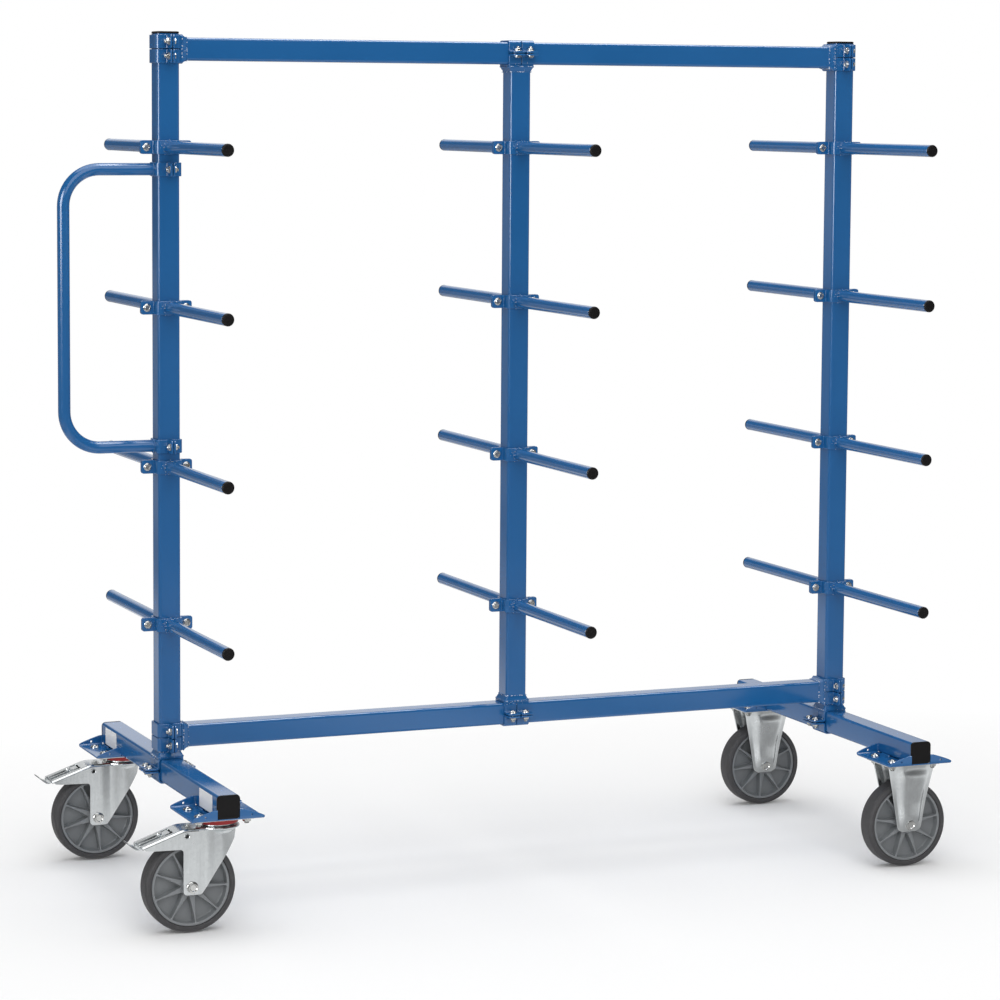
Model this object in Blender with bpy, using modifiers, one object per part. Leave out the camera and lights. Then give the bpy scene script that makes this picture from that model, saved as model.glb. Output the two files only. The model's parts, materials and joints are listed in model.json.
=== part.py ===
"""Long material cart: a double-sided cantilever rack on four casters.

Three square-tube posts stand between a top beam and a bottom beam, on two base beams that run across
the cart. Twelve pairs of round arms are clamped to the posts, a bent round handle to the left post, two
braked swivel casters sit under the left base beam and two fixed casters under the right one. Every joint
of the frame is made with the same pressed half clamp, used in pairs and bolted together.

Frame: metres, +Z up, X along the cart (handle at -X), Y across it (front at -Y), z = 0 on the floor,
the origin under the middle of the whole cart, from the handle to the fixed wheels.
"""
import math

import bmesh
import bpy
from mathutils import Matrix, Vector

# Square frame tube
TUBE_SIDE = 0.050
TUBE_WALL = 0.003
TUBE_CORNER = 0.005
FIT_GAP = 0.0003
WELD_DEPTH = 0.0006
OVERRUN = 0.002

# Overall layout
POST_SPACING = 0.830
BASE_BEAM_LENGTH = 0.880
BOTTOM_BEAM_RISE = 0.073
FIRST_ARM_RISE = 0.251
ARM_LEVEL_PITCH = 0.350
ARM_LEVELS = 4
TOP_BEAM_RISE = 0.213
POST_TOP_OVERHANG = 0.033

# Half clamp, the pressed strap that grips a square tube
STRAP_THICKNESS = 0.004
STRAP_HEIGHT = 0.030
STRAP_PAIR_SLIT = 0.0014
EAR_LENGTH = 0.0285
EAR_HALF_GAP = 0.001
FLARE_HEIGHT = 0.006

# Clamp bolt and nut
BOLT_RADIUS = 0.004
BOLT_HOLE_CLEARANCE = 0.0006
BOLT_HEAD_RADIUS = 0.0080
BOLT_HEAD_HEIGHT = 0.006
BOLT_PLACE_SHARE = 0.52

# Arm
ARM_TUBE_RADIUS = 0.0135
ARM_TIP_REACH = 0.445

# Push handle
HANDLE_TUBE_RADIUS = 0.0135
HANDLE_REACH = 0.230
HANDLE_TOP_DROP = 0.048
HANDLE_HEIGHT = 0.606
HANDLE_BEND_RADIUS = 0.080

# Black tube caps
CAP_THICKNESS = 0.005
CAP_PLUG_LENGTH = 0.012
CAP_PLUG_GAP = 0.0006

# Mount pan welded under each end of a base beam
PAN_LENGTH = 0.162
PAN_WIDTH = 0.160
PAN_THICKNESS = 0.004
PAN_LIP_HEIGHT = 0.024
PAN_TIP_HEIGHT = 0.010
PAN_TIP_ROUNDING = 0.008
PAN_LIP_HOLE_RADIUS = 0.0025
PAN_LIP_HOLE_RISE = 0.0095
PAN_LIP_HOLE_PLACE = 0.051
PAN_SLOT_WIDTH = 0.008
PAN_SLOT_LENGTH = 0.036
PAN_SLOT_PLACE = 0.0345

# Casters in common
CASTER_HEIGHT = 0.247
CASTER_HEAD_ROOM = 0.047
CASTER_INSET = 0.080
CASTER_PLATE_LENGTH = 0.140
CASTER_PLATE_WIDTH = 0.110
CASTER_PLATE_THICKNESS = 0.005
CASTER_PLATE_CORNER = 0.010
MOUNT_BOLT_SPACING_X = 0.105
MOUNT_BOLT_SPACING_Y = 0.080
MOUNT_BOLT_RADIUS = 0.005
MOUNT_BOLT_HEAD_RADIUS = 0.0095
MOUNT_BOLT_HEAD_HEIGHT = 0.0064

# Wheel
WHEEL_RADIUS = (CASTER_HEIGHT - CASTER_HEAD_ROOM) / 2
WHEEL_WIDTH = 0.050
TYRE_DEPTH = 0.018
TYRE_SHOULDER = 0.006
RIM_WIDTH = 0.042
RIM_BAND = 0.0055
WEB_THICKNESS = 0.006
HUB_RADIUS = 0.0215
HUB_LENGTH = 0.058
RIB_COUNT = 9
RIB_ROOT_WIDTH = 0.013
RIB_TIP_WIDTH = 0.0038
RIB_DEPTH = 0.036
AXLE_RADIUS = 0.006
AXLE_RUNNING_GAP = 0.0004
AXLE_HEAD_RADIUS = 0.0108
AXLE_HEAD_HEIGHT = 0.0075
AXLE_END_LENGTH = 0.003

# Swivel caster
SWIVEL_TRAIL = 0.065
RACE_RADIUS = 0.036
RACE_DROP = 0.0165
SEAL_RADIUS = 0.0455
SEAL_HEIGHT = 0.0105
SEAL_GAP = 0.0005
SEAL_TAPER = 0.0015
CROWN_RADIUS = 0.047
CROWN_DEPTH = 0.016
CROWN_FLANGE = 0.004
CROWN_FOOT_RADIUS = 0.034
KINGPIN_RADIUS = 0.008
KINGPIN_CLEARANCE = 0.0006
KINGPIN_NUT_RADIUS = 0.013
KINGPIN_NUT_HEIGHT = 0.006
FORK_PLATE_THICKNESS = 0.003
FORK_INNER_WIDTH = 0.060
FORK_FRONT = 0.020
FORK_SHOULDER_DROP = 0.036
FORK_SHOULDER_SLANT = 0.003
FORK_WAIST_DROP = 0.058
FORK_WAIST_SLANT = 0.011
LEG_HALF_WIDTH = 0.0195
LEG_DROP = 0.016
LEG_ROUNDING = 0.008
BRAKE_ARM_START = 0.084
BRAKE_ARM_REACH = 0.174
BRAKE_ARM_FALL = 0.0315
BRAKE_ARM_TIP_DEPTH = 0.008
BRAKE_ARM_TIP_SLANT = 0.012
BRAKE_ARM_CHIN = 0.020
BRAKE_ARM_DEPTH = 0.043
FORK_ROUNDING = 0.006
COVER_SLOT_LENGTH = 0.052
COVER_SLOT_WIDTH = 0.026
COVER_SLOT_START = 0.030

# Brake pedal
PEDAL_PIVOT_BACK = 0.0765
PEDAL_PIVOT_DROP = 0.015
PEDAL_PIN_RADIUS = 0.004
PEDAL_PIN_CLEARANCE = 0.0005
PEDAL_BARREL_RADIUS = 0.0052
PEDAL_THICKNESS = 0.003
PEDAL_WIDTH = 0.050
PEDAL_OVERHANG = 0.028
PEDAL_REACH = BRAKE_ARM_REACH + PEDAL_OVERHANG
PEDAL_COVER_GAP = 0.003
PEDAL_TIP_RISE = 0.006
PEDAL_TIP_LENGTH = 0.024
SHOE_PLACE = 0.0285
SHOE_LENGTH = 0.010
SHOE_WIDTH = 0.030
SHOE_TYRE_GAP = 0.0048

# Fixed caster bracket
BRACKET_TOP_HALF_WIDTH = 0.052
BRACKET_SPLAY_HEIGHT = 0.097
BRACKET_BULGE = 0.005
BRACKET_TOP_HALF_LENGTH = 0.059
BRACKET_THICKNESS = 0.003

# Angles at which the wheels stand, in degrees
WHEEL_ANGLES = {"swivel_front": 38, "swivel_back": 36, "fixed_front": 10, "fixed_back": 25}

# Counts of facets
ARM_SIDES = 12
HEX_SIDES = 6
HANDLE_SIDES = 10
SQUARE_SIDES = 4
SQUARE_TURN = math.pi / 4
HOLE_SIDES = 8
WHEEL_SIDES = 20
BEND_STEPS = 5

# Places worked out from the sizes above
CLAMP_INNER = TUBE_SIDE / 2 + FIT_GAP
CLAMP_OUTER = CLAMP_INNER + STRAP_THICKNESS
EAR_TIP = CLAMP_OUTER + EAR_LENGTH
BOLT_PLACE = CLAMP_OUTER + EAR_LENGTH * BOLT_PLACE_SHARE
STRAP_STEP = (STRAP_HEIGHT + STRAP_PAIR_SLIT) / 2
STRAP_BLOCK = STRAP_HEIGHT * 2 + STRAP_PAIR_SLIT
BASE_BEAM_Z = CASTER_HEIGHT + FIT_GAP + PAN_THICKNESS + TUBE_SIDE / 2
BOTTOM_BEAM_Z = BASE_BEAM_Z + BOTTOM_BEAM_RISE
FIRST_ARM_Z = BOTTOM_BEAM_Z + FIRST_ARM_RISE
TOP_ARM_Z = FIRST_ARM_Z + ARM_LEVEL_PITCH * (ARM_LEVELS - 1)
TOP_BEAM_Z = TOP_ARM_Z + TOP_BEAM_RISE
POST_TOP_Z = TOP_BEAM_Z + POST_TOP_OVERHANG
HANDLE_TOP_Z = TOP_ARM_Z - HANDLE_TOP_DROP
CASTER_Y = BASE_BEAM_LENGTH / 2 + CAP_THICKNESS - CASTER_INSET
PLATE_BOTTOM = CASTER_HEIGHT - CASTER_PLATE_THICKNESS
POST_NAMES = {"left": -POST_SPACING, "middle": 0.0, "right": POST_SPACING}
FRAME_SHIFT = (HANDLE_REACH + HANDLE_TUBE_RADIUS - WHEEL_RADIUS) / 2

X_AXIS = Vector((1, 0, 0))
Y_AXIS = Vector((0, 1, 0))
Z_AXIS = Vector((0, 0, 1))

# Finishes: colour, metallic, roughness
FINISHES = {
    "blue_powder_coat": ((0.030, 0.105, 0.290, 1), 0.0, 0.38),
    "zinc_plate": ((0.62, 0.64, 0.66, 1), 1.0, 0.32),
    "black_cap": ((0.012, 0.012, 0.013, 1), 0.0, 0.45),
    "grey_rim": ((0.235, 0.250, 0.265, 1), 0.0, 0.50),
    "dark_tyre": ((0.055, 0.056, 0.060, 1), 0.0, 0.62),
    "red_seal": ((0.420, 0.018, 0.022, 1), 0.0, 0.45),
}


def clear_scene():
    """Empty the scene and return the collection for the parts and the one for the cutters."""
    for obj in list(bpy.data.objects):
        bpy.data.objects.remove(obj, do_unlink=True)
    collections = []
    for name in ("long_material_cart", "cutters"):
        collection = bpy.data.collections.new(name)
        bpy.context.scene.collection.children.link(collection)
        collections.append(collection)
    return collections


PARTS, CUTTERS = clear_scene()


def axes_frame(origin, x_axis, y_axis):
    """Return the matrix of a frame with its origin and its first two axes given."""
    z_axis = x_axis.cross(y_axis)
    return Matrix.Translation(origin) @ Matrix((x_axis, y_axis, z_axis)).transposed().to_4x4()


def shape_object(mesh, name="shape"):
    """Link a mesh as a hidden working shape and return its object."""
    obj = bpy.data.objects.new(name, mesh)
    CUTTERS.objects.link(obj)
    obj.hide_render = True
    obj.display_type = "WIRE"
    return obj


def mesh_from(working, name="shape"):
    """Turn a bmesh into a new mesh and free it."""
    bmesh.ops.recalc_face_normals(working, faces=working.faces)
    mesh = bpy.data.meshes.new(name)
    working.to_mesh(mesh)
    working.free()
    return mesh


def frozen(obj):
    """Apply an object's modifiers, drop the object and return its mesh, welded and in place."""
    graph = bpy.context.evaluated_depsgraph_get()
    graph.update()
    mesh = bpy.data.meshes.new_from_object(obj.evaluated_get(graph), depsgraph=graph)
    mesh.transform(obj.matrix_world)
    old_data, was_curve = obj.data, obj.type == "CURVE"
    bpy.data.objects.remove(obj, do_unlink=True)
    if was_curve:
        bpy.data.curves.remove(old_data)
        working = bmesh.new()
        working.from_mesh(mesh)
        bmesh.ops.remove_doubles(working, verts=working.verts, dist=FIT_GAP / 10)
        bmesh.ops.recalc_face_normals(working, faces=working.faces)
        working.to_mesh(mesh)
        working.free()
    return mesh


def box(low, high):
    """Return a box mesh between two corners."""
    low, high = Vector(low), Vector(high)
    working = bmesh.new()
    bmesh.ops.create_cube(working, size=1)
    bmesh.ops.scale(working, vec=high - low, verts=working.verts)
    bmesh.ops.translate(working, vec=(low + high) / 2, verts=working.verts)
    return mesh_from(working)


def cylinder(start, end, radius, sides, end_radius=None, turn=0.0):
    """Return a capped cylinder or cone from start to end; turn rotates its facets."""
    start, end = Vector(start), Vector(end)
    axis = end - start
    place = axis.to_track_quat("Z", "X").to_matrix().to_4x4()
    working = bmesh.new()
    bmesh.ops.create_cone(
        working, cap_ends=True, segments=sides, radius1=radius,
        radius2=radius if end_radius is None else end_radius, depth=axis.length,
        matrix=Matrix.Translation((start + end) / 2) @ place @ Matrix.Rotation(turn, 4, "Z"))
    return mesh_from(working)


def rounded(corners):
    """Round the corners of an outline. Each corner is x, y and, where it is round, radius and steps."""
    points = []
    for index, corner in enumerate(corners):
        here = Vector(corner[:2])
        if len(corner) < 4:
            points.append(tuple(here))
            continue
        radius, steps = corner[2:]
        back = (Vector(corners[index - 1][:2]) - here).normalized()
        ahead = (Vector(corners[(index + 1) % len(corners)][:2]) - here).normalized()
        half = back.angle(ahead) / 2
        centre = here + (back + ahead).normalized() * (radius / math.sin(half))
        first = here + back * (radius / math.tan(half)) - centre
        sweep = math.pi - 2 * half
        side = 1 if back.x * ahead.y - back.y * ahead.x < 0 else -1
        for step in range(steps + 1):
            angle = side * sweep * step / steps
            points.append((centre.x + first.x * math.cos(angle) - first.y * math.sin(angle),
                           centre.y + first.x * math.sin(angle) + first.y * math.cos(angle)))
    return points


def extruded(outlines, depth, place=None):
    """Return a plate mesh from one outline and its holes, centred on its own plane."""
    curve = bpy.data.curves.new("outline", "CURVE")
    curve.dimensions = "2D"
    curve.fill_mode = "BOTH"
    curve.extrude = depth / 2
    for outline in outlines:
        spline = curve.splines.new("POLY")
        spline.points.add(len(outline) - 1)
        for point, (x, y) in zip(spline.points, outline):
            point.co = (x, y, 0, 1)
        spline.use_cyclic_u = True
    mesh = frozen(shape_object(curve))
    if place is not None:
        mesh.transform(place)
    return mesh


def turned(profile, sides, place=None):
    """Return a closed profile of radius and height turned about the Z axis."""
    working = bmesh.new()
    verts = [working.verts.new((radius, 0, height)) for radius, height in profile]
    for index, vert in enumerate(verts):
        working.edges.new((vert, verts[(index + 1) % len(verts)]))
    mesh = bpy.data.meshes.new("profile")
    working.to_mesh(mesh)
    working.free()
    obj = shape_object(mesh)
    screw = obj.modifiers.new("turn", "SCREW")
    screw.steps = screw.render_steps = sides
    screw.use_merge_vertices = True
    screw.merge_threshold = FIT_GAP / 10
    mesh = frozen(obj)
    working = bmesh.new()
    working.from_mesh(mesh)
    bmesh.ops.recalc_face_normals(working, faces=working.faces)
    working.to_mesh(mesh)
    working.free()
    if place is not None:
        mesh.transform(place)
    return mesh


def placed(mesh, place):
    """Return a copy of a mesh moved by a matrix."""
    copy = mesh.copy()
    copy.transform(place)
    return copy


def fused(pieces, holes=()):
    """Join meshes into one solid, cut the holes out of it and return its mesh."""
    obj = shape_object(pieces[0].copy())
    extras = []
    for meshes, operation in ((pieces[1:], "UNION"), (holes, "DIFFERENCE")):
        if not meshes:
            continue
        group = bpy.data.collections.new(operation)
        CUTTERS.children.link(group)
        for mesh in meshes:
            tool = bpy.data.objects.new("tool", mesh)
            tool.hide_render = True
            tool.display_type = "WIRE"
            group.objects.link(tool)
        modifier = obj.modifiers.new(operation, "BOOLEAN")
        modifier.operation = operation
        modifier.operand_type = "COLLECTION"
        modifier.collection = group
        modifier.solver = "EXACT"
        extras.append(group)
    mesh = frozen(obj)
    for group in extras:
        for tool in list(group.objects):
            bpy.data.objects.remove(tool, do_unlink=True)
        bpy.data.collections.remove(group)
    working = bmesh.new()
    working.from_mesh(mesh)
    bmesh.ops.dissolve_limit(working, angle_limit=math.radians(0.05), verts=working.verts,
                             edges=working.edges)
    working.to_mesh(mesh)
    working.free()
    return mesh


def add_part(name, mesh, finish, origin=(0, 0, 0), parent=None):
    """Link a finished mesh as a named part, give it a material and set its place."""
    if not mesh.materials:
        colour, metallic, roughness = FINISHES[finish]
        material = bpy.data.materials.new(f"{name}_{finish}")
        material.use_nodes = True
        shader = material.node_tree.nodes["Principled BSDF"]
        shader.inputs["Base Color"].default_value = colour
        shader.inputs["Metallic"].default_value = metallic
        shader.inputs["Roughness"].default_value = roughness
        mesh.materials.append(material)
    mesh.name = name
    mesh.shade_smooth()
    mesh.set_sharp_from_angle(angle=math.radians(35))
    obj = bpy.data.objects.new(name, mesh)
    PARTS.objects.link(obj)
    obj.location = origin
    obj.parent = parent
    return obj


def add_empty(name, origin, parent):
    """Add an empty that carries the parts of one assembly."""
    empty = bpy.data.objects.new(name, None)
    PARTS.objects.link(empty)
    empty.location = origin
    empty.parent = parent
    return empty


def tube_outline(inset=0.0):
    """Return the square tube's outline, or one parallel to it further in."""
    half = TUBE_SIDE / 2 - inset
    radius = max(TUBE_CORNER - inset, TUBE_WALL / 2)
    steps = 1 if inset else 2
    return rounded([(x * half, y * half, radius, steps) for x, y in ((1, 1), (-1, 1), (-1, -1), (1, -1))])


def square_tube(start, end):
    """Return an open square tube from start to end, square to the frame's axes."""
    start, end = Vector(start), Vector(end)
    axis = (end - start).normalized()
    side = X_AXIS if abs(axis.x) < abs(axis.y) + abs(axis.z) else Y_AXIS
    place = axes_frame((start + end) / 2, side, axis.cross(side))
    return extruded([tube_outline(), tube_outline(TUBE_WALL)], (end - start).length, place)


def half_strap():
    """Return the half clamp that grips the -Y half of a square tube along Z, ears at -X and +X."""
    ear_face = -EAR_HALF_GAP - STRAP_THICKNESS
    outer_corner = TUBE_CORNER + STRAP_THICKNESS
    half = [(CLAMP_OUTER, -CLAMP_OUTER, outer_corner, 2), (CLAMP_OUTER, ear_face), (EAR_TIP, ear_face),
            (EAR_TIP, -EAR_HALF_GAP), (CLAMP_INNER, -EAR_HALF_GAP), (CLAMP_INNER, -CLAMP_INNER)]
    return extruded([rounded(half + [(-x, *rest) for x, *rest in reversed(half)])], STRAP_HEIGHT)


def hex_bolt(seat, axis, grip, shank_radius, head_radius, head_height):
    """Return a bolt: head on its seat, shank through the grip, nut at the far side."""
    far = seat + axis * grip
    return [cylinder(seat - axis * head_height, seat, head_radius, HEX_SIDES),
            cylinder(seat - axis * WELD_DEPTH, far + axis * WELD_DEPTH, shank_radius, SQUARE_SIDES,
                     turn=SQUARE_TURN),
            cylinder(far, far + axis * head_height, head_radius, HEX_SIDES)]


HALF_STRAP = half_strap()
STRAP_GRIP = (EAR_HALF_GAP + STRAP_THICKNESS) * 2
TURN_BACK = Matrix.Rotation(math.pi, 4, "Z")


def strap_bolts():
    """Return the two bolts that draw a pair of half clamps together."""
    shapes = []
    for side in (-1, 1):
        seat = Vector((side * BOLT_PLACE, -STRAP_GRIP / 2 + WELD_DEPTH, 0))
        shapes += hex_bolt(seat, Y_AXIS, STRAP_GRIP - WELD_DEPTH * 2, BOLT_RADIUS, BOLT_HEAD_RADIUS,
                           BOLT_HEAD_HEIGHT)
    return shapes


def clamp_block(centre, along, outward, count):
    """Return bolted clamps, side by side along a gripped tube, and the flare to the welded tube.

    along runs along the gripped tube, outward from it towards the welded tube's end.
    """
    shapes = []
    base = axes_frame(centre, outward.cross(along), -outward)
    steps = [0.0] if count == 1 else [-STRAP_STEP, STRAP_STEP]
    for step in steps:
        place = base @ Matrix.Translation((0, 0, step))
        clamp = [HALF_STRAP, placed(HALF_STRAP, TURN_BACK)] + strap_bolts()
        shapes += [placed(mesh, place) for mesh in clamp]
    return shapes


def tube_flare(centre, outward, along):
    """Return the flare that joins a tube's end to the crowns of its two clamps, and its hollows."""
    across = outward.cross(along)
    low, crown = CLAMP_INNER + WELD_DEPTH, CLAMP_OUTER + WELD_DEPTH
    half_along, half_across = STRAP_BLOCK / 2 - WELD_DEPTH, CLAMP_OUTER - WELD_DEPTH / 2
    ends = [centre + outward * height + along * side * half_along + across * side * half_across
            for height, side in ((low, -1), (crown, 1))]
    block = box(*(map(min, *ends), map(max, *ends)))
    wide, narrow = (CLAMP_OUTER - WELD_DEPTH) * math.sqrt(2), TUBE_SIDE / math.sqrt(2)
    start = centre + outward * CLAMP_OUTER
    cone = cylinder(start, start + outward * FLARE_HEIGHT, wide, SQUARE_SIDES, narrow, SQUARE_TURN)
    bore_low, bore_high = CLAMP_OUTER - WELD_DEPTH, CLAMP_OUTER + FLARE_HEIGHT + OVERRUN
    bore = extruded([tube_outline(TUBE_WALL + WELD_DEPTH)], bore_high - bore_low,
                    axes_frame(centre + outward * (bore_low + bore_high) / 2, across, along))
    slit_half = TUBE_SIDE / 2 - TUBE_WALL * 2
    ends = [centre + outward * height + along * side * STRAP_PAIR_SLIT / 2 + across * side * slit_half
            for height, side in ((CLAMP_INNER - OVERRUN, -1), (CLAMP_OUTER + OVERRUN, 1))]
    slit = box(*(map(min, *ends), map(max, *ends)))
    return [block, cone], [bore, slit]


def welded_tube(start, end, ends):
    """Return a tube with a pair of clamps at each end named in ends, as (centre, outward, along)."""
    pieces, holes = [square_tube(start, end)], []
    for centre, outward, along in ends:
        pieces += clamp_block(centre, along, outward, 2)
        solids, hollows = tube_flare(centre, outward, along)
        pieces += solids
        holes += hollows
    return fused(pieces, holes)


def build_posts(root):
    """Build the three posts with the clamps at their ends and the caps on the outer two."""
    base_end = BASE_BEAM_Z + CLAMP_OUTER - WELD_DEPTH
    for name in ("left", "right"):
        foot = Vector((0, 0, BASE_BEAM_Z))
        mesh = welded_tube((0, 0, base_end), (0, 0, POST_TOP_Z), [(foot, Z_AXIS, Y_AXIS)])
        add_part(f"post_{name}", mesh, "blue_powder_coat", (POST_NAMES[name], 0, 0), root)
        add_part(f"cap_post_{name}", tube_cap(), "black_cap", (POST_NAMES[name], 0, POST_TOP_Z), root)
    low, high = Vector((0, 0, BOTTOM_BEAM_Z)), Vector((0, 0, TOP_BEAM_Z))
    reach = CLAMP_OUTER - WELD_DEPTH
    mesh = welded_tube((0, 0, low.z + reach), (0, 0, high.z - reach),
                       [(low, Z_AXIS, X_AXIS), (high, -Z_AXIS, X_AXIS)])
    add_part("post_middle", mesh, "blue_powder_coat", (POST_NAMES["middle"], 0, 0), root)


def build_beams(root):
    """Build the top and bottom beams, whose end clamps grip the outer posts."""
    reach = POST_SPACING - CLAMP_OUTER + WELD_DEPTH
    for name, height in (("top_beam", TOP_BEAM_Z), ("bottom_beam", BOTTOM_BEAM_Z)):
        ends = [(Vector((side * POST_SPACING, 0, 0)), X_AXIS * -side, Z_AXIS) for side in (-1, 1)]
        mesh = welded_tube((-reach, 0, 0), (reach, 0, 0), ends)
        add_part(name, mesh, "blue_powder_coat", (0, 0, height), root)


def tube_cap():
    """Return a square cap: a lid with a flat top above z = 0 and a plug below it, inside the tube."""
    plug_top = FIT_GAP + WELD_DEPTH
    lid = extruded([tube_outline()], CAP_THICKNESS - FIT_GAP,
                   Matrix.Translation((0, 0, (FIT_GAP + CAP_THICKNESS) / 2)))
    plug = extruded([tube_outline(TUBE_WALL + CAP_PLUG_GAP)], CAP_PLUG_LENGTH + plug_top,
                    Matrix.Translation((0, 0, (plug_top - CAP_PLUG_LENGTH) / 2)))
    return fused([lid, plug])


def mount_pan(centre_y):
    """Return the mount pan under one end of a base beam, and the holes to cut from it."""
    half_length, half_width = PAN_LENGTH / 2, PAN_WIDTH / 2
    low, top = CASTER_HEIGHT + FIT_GAP, CASTER_HEIGHT + FIT_GAP + PAN_THICKNESS
    pieces = [box((-half_width, centre_y - half_length, low),
                  (half_width, centre_y + half_length, top + WELD_DEPTH))]
    holes = []
    inner = TUBE_SIDE / 2 - TUBE_WALL / 2
    for side in (-1, 1):
        corners = [(side * inner, low), (side * half_width, low),
                   (side * half_width, low + PAN_TIP_HEIGHT, PAN_TIP_ROUNDING, 2),
                   (side * (TUBE_SIDE / 2 + PAN_TIP_HEIGHT), low + PAN_LIP_HEIGHT),
                   (side * inner, low + PAN_LIP_HEIGHT)]
        for end in (-1, 1):
            lip_y = centre_y + end * (half_length - PAN_THICKNESS / 2)
            outline = rounded(corners)
            pieces.append(extruded([outline], PAN_THICKNESS, axes_frame((0, lip_y, 0), X_AXIS, Z_AXIS)))
            hole = Vector((side * PAN_LIP_HOLE_PLACE, lip_y, low + PAN_LIP_HOLE_RISE))
            through = Y_AXIS * PAN_THICKNESS
            holes.append(cylinder(hole - through, hole + through, PAN_LIP_HOLE_RADIUS, HEX_SIDES))
            bolt = Vector((side * MOUNT_BOLT_SPACING_X / 2, centre_y + end * MOUNT_BOLT_SPACING_Y / 2, 0))
            holes.append(cylinder(bolt + Z_AXIS * (low - OVERRUN), bolt + Z_AXIS * (top + OVERRUN),
                                  MOUNT_BOLT_RADIUS + BOLT_HOLE_CLEARANCE, HEX_SIDES))
        slot = Vector((side * PAN_SLOT_PLACE, centre_y, 0))
        reach = Vector((PAN_SLOT_WIDTH / 2, PAN_SLOT_LENGTH / 2, 0))
        holes.append(box(slot - reach + Z_AXIS * (low - OVERRUN), slot + reach + Z_AXIS * (top + OVERRUN)))
    return pieces, holes


def build_base_beams(root):
    """Build the two base beams with their mount pans and end caps."""
    half = BASE_BEAM_LENGTH / 2
    tube = square_tube((0, -half, BASE_BEAM_Z), (0, half, BASE_BEAM_Z))
    pieces, holes = [tube], []
    room = TUBE_SIDE / 2 + FIT_GAP
    for side in (-1, 1):
        pan, cuts = mount_pan(side * CASTER_Y)
        pieces += pan
        reach = sorted((side * half, side * (half + PAN_LENGTH)))
        holes += cuts + [box((-room, reach[0], BASE_BEAM_Z - room), (room, reach[1], BASE_BEAM_Z + room))]
    mesh = fused(pieces, holes)
    for name in ("left", "right"):
        beam = add_part(f"base_beam_{name}", mesh.copy(), "blue_powder_coat", (POST_NAMES[name], 0, 0), root)
        for end, side in (("front", -1), ("back", 1)):
            cap = tube_cap()
            cap.transform(axes_frame((0, side * half, BASE_BEAM_Z), X_AXIS * -side, Z_AXIS))
            add_part(f"cap_{name}_{end}", cap, "black_cap", (0, 0, 0), beam)


def arm_mesh():
    """Return one arm: half clamp, capped round tube and the bolt heads on the clamp's ears."""
    root_y = -CLAMP_OUTER + WELD_DEPTH
    pieces = [HALF_STRAP, cylinder((0, root_y, 0), (0, -ARM_TIP_REACH, 0), ARM_TUBE_RADIUS, ARM_SIDES)]
    for side in (-1, 1):
        seat = Vector((side * BOLT_PLACE, WELD_DEPTH - STRAP_GRIP / 2, 0))
        pieces.append(cylinder(seat, seat - Y_AXIS * BOLT_HEAD_HEIGHT, BOLT_HEAD_RADIUS, HEX_SIDES))
    return fused(pieces)


def build_arms(root):
    """Build twelve pairs of arms, front and back on each post, at the four levels."""
    mesh = arm_mesh()
    meshes = {"front": mesh, "back": placed(mesh, TURN_BACK)}
    for post, x in POST_NAMES.items():
        for level in range(ARM_LEVELS):
            place = (x, 0, FIRST_ARM_Z + ARM_LEVEL_PITCH * level)
            for side, mesh in meshes.items():
                add_part(f"arm_{post}_{level + 1}_{side}", mesh, "blue_powder_coat", place, root)


def bent_tube(points, radius, sides):
    """Return a round tube along a list of points."""
    curve = bpy.data.curves.new("path", "CURVE")
    curve.dimensions = "3D"
    curve.bevel_depth = radius
    curve.bevel_resolution = (sides - 4) // 2
    curve.use_fill_caps = True
    spline = curve.splines.new("POLY")
    spline.points.add(len(points) - 1)
    for point, place in zip(spline.points, points):
        point.co = (*place, 1)
    return frozen(shape_object(curve))


def build_handle(root):
    """Build the push handle: a bent tube whose two ends are clamped to the left post."""
    start = -CLAMP_OUTER + WELD_DEPTH
    bend = HANDLE_REACH - HANDLE_BEND_RADIUS
    path = [(start, 0, 0)]
    for corner, sign in ((0, 1), (-HANDLE_HEIGHT, -1)):
        centre = (-bend, corner - sign * HANDLE_BEND_RADIUS)
        for step in range(BEND_STEPS + 1):
            share = step / BEND_STEPS if sign == 1 else 1 - step / BEND_STEPS
            angle = share * math.pi / 2
            path.append((centre[0] - HANDLE_BEND_RADIUS * math.sin(angle), 0,
                         centre[1] + sign * HANDLE_BEND_RADIUS * math.cos(angle)))
    path.append((start, 0, -HANDLE_HEIGHT))
    pieces = [bent_tube(path, HANDLE_TUBE_RADIUS, HANDLE_SIDES)]
    for height in (0, -HANDLE_HEIGHT):
        pieces += clamp_block(Vector((0, 0, height)), Z_AXIS, -X_AXIS, 1)
    add_part("push_handle", fused(pieces), "blue_powder_coat", (POST_NAMES["left"], 0, HANDLE_TOP_Z), root)


def mount_bolts(plate_low):
    """Return the four bolts that hang a caster plate from its pan, with the nuts under the plate."""
    seat_z = CASTER_HEIGHT + FIT_GAP + PAN_THICKNESS + WELD_DEPTH + FIT_GAP
    shapes = []
    for x in (-MOUNT_BOLT_SPACING_X / 2, MOUNT_BOLT_SPACING_X / 2):
        for y in (-MOUNT_BOLT_SPACING_Y / 2, MOUNT_BOLT_SPACING_Y / 2):
            shapes += hex_bolt(Vector((x, y, seat_z)), -Z_AXIS, seat_z - plate_low - WELD_DEPTH,
                               MOUNT_BOLT_RADIUS, MOUNT_BOLT_HEAD_RADIUS, MOUNT_BOLT_HEAD_HEIGHT)
    return shapes


def caster_plate(low):
    """Return the flat top plate of a caster."""
    x, y = CASTER_PLATE_LENGTH / 2, CASTER_PLATE_WIDTH / 2
    corners = [(i * x, j * y, CASTER_PLATE_CORNER, 2) for i, j in ((1, 1), (-1, 1), (-1, -1), (1, -1))]
    return extruded([rounded(corners)], CASTER_HEIGHT - low,
                    Matrix.Translation((0, 0, (CASTER_HEIGHT + low) / 2)))


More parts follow.
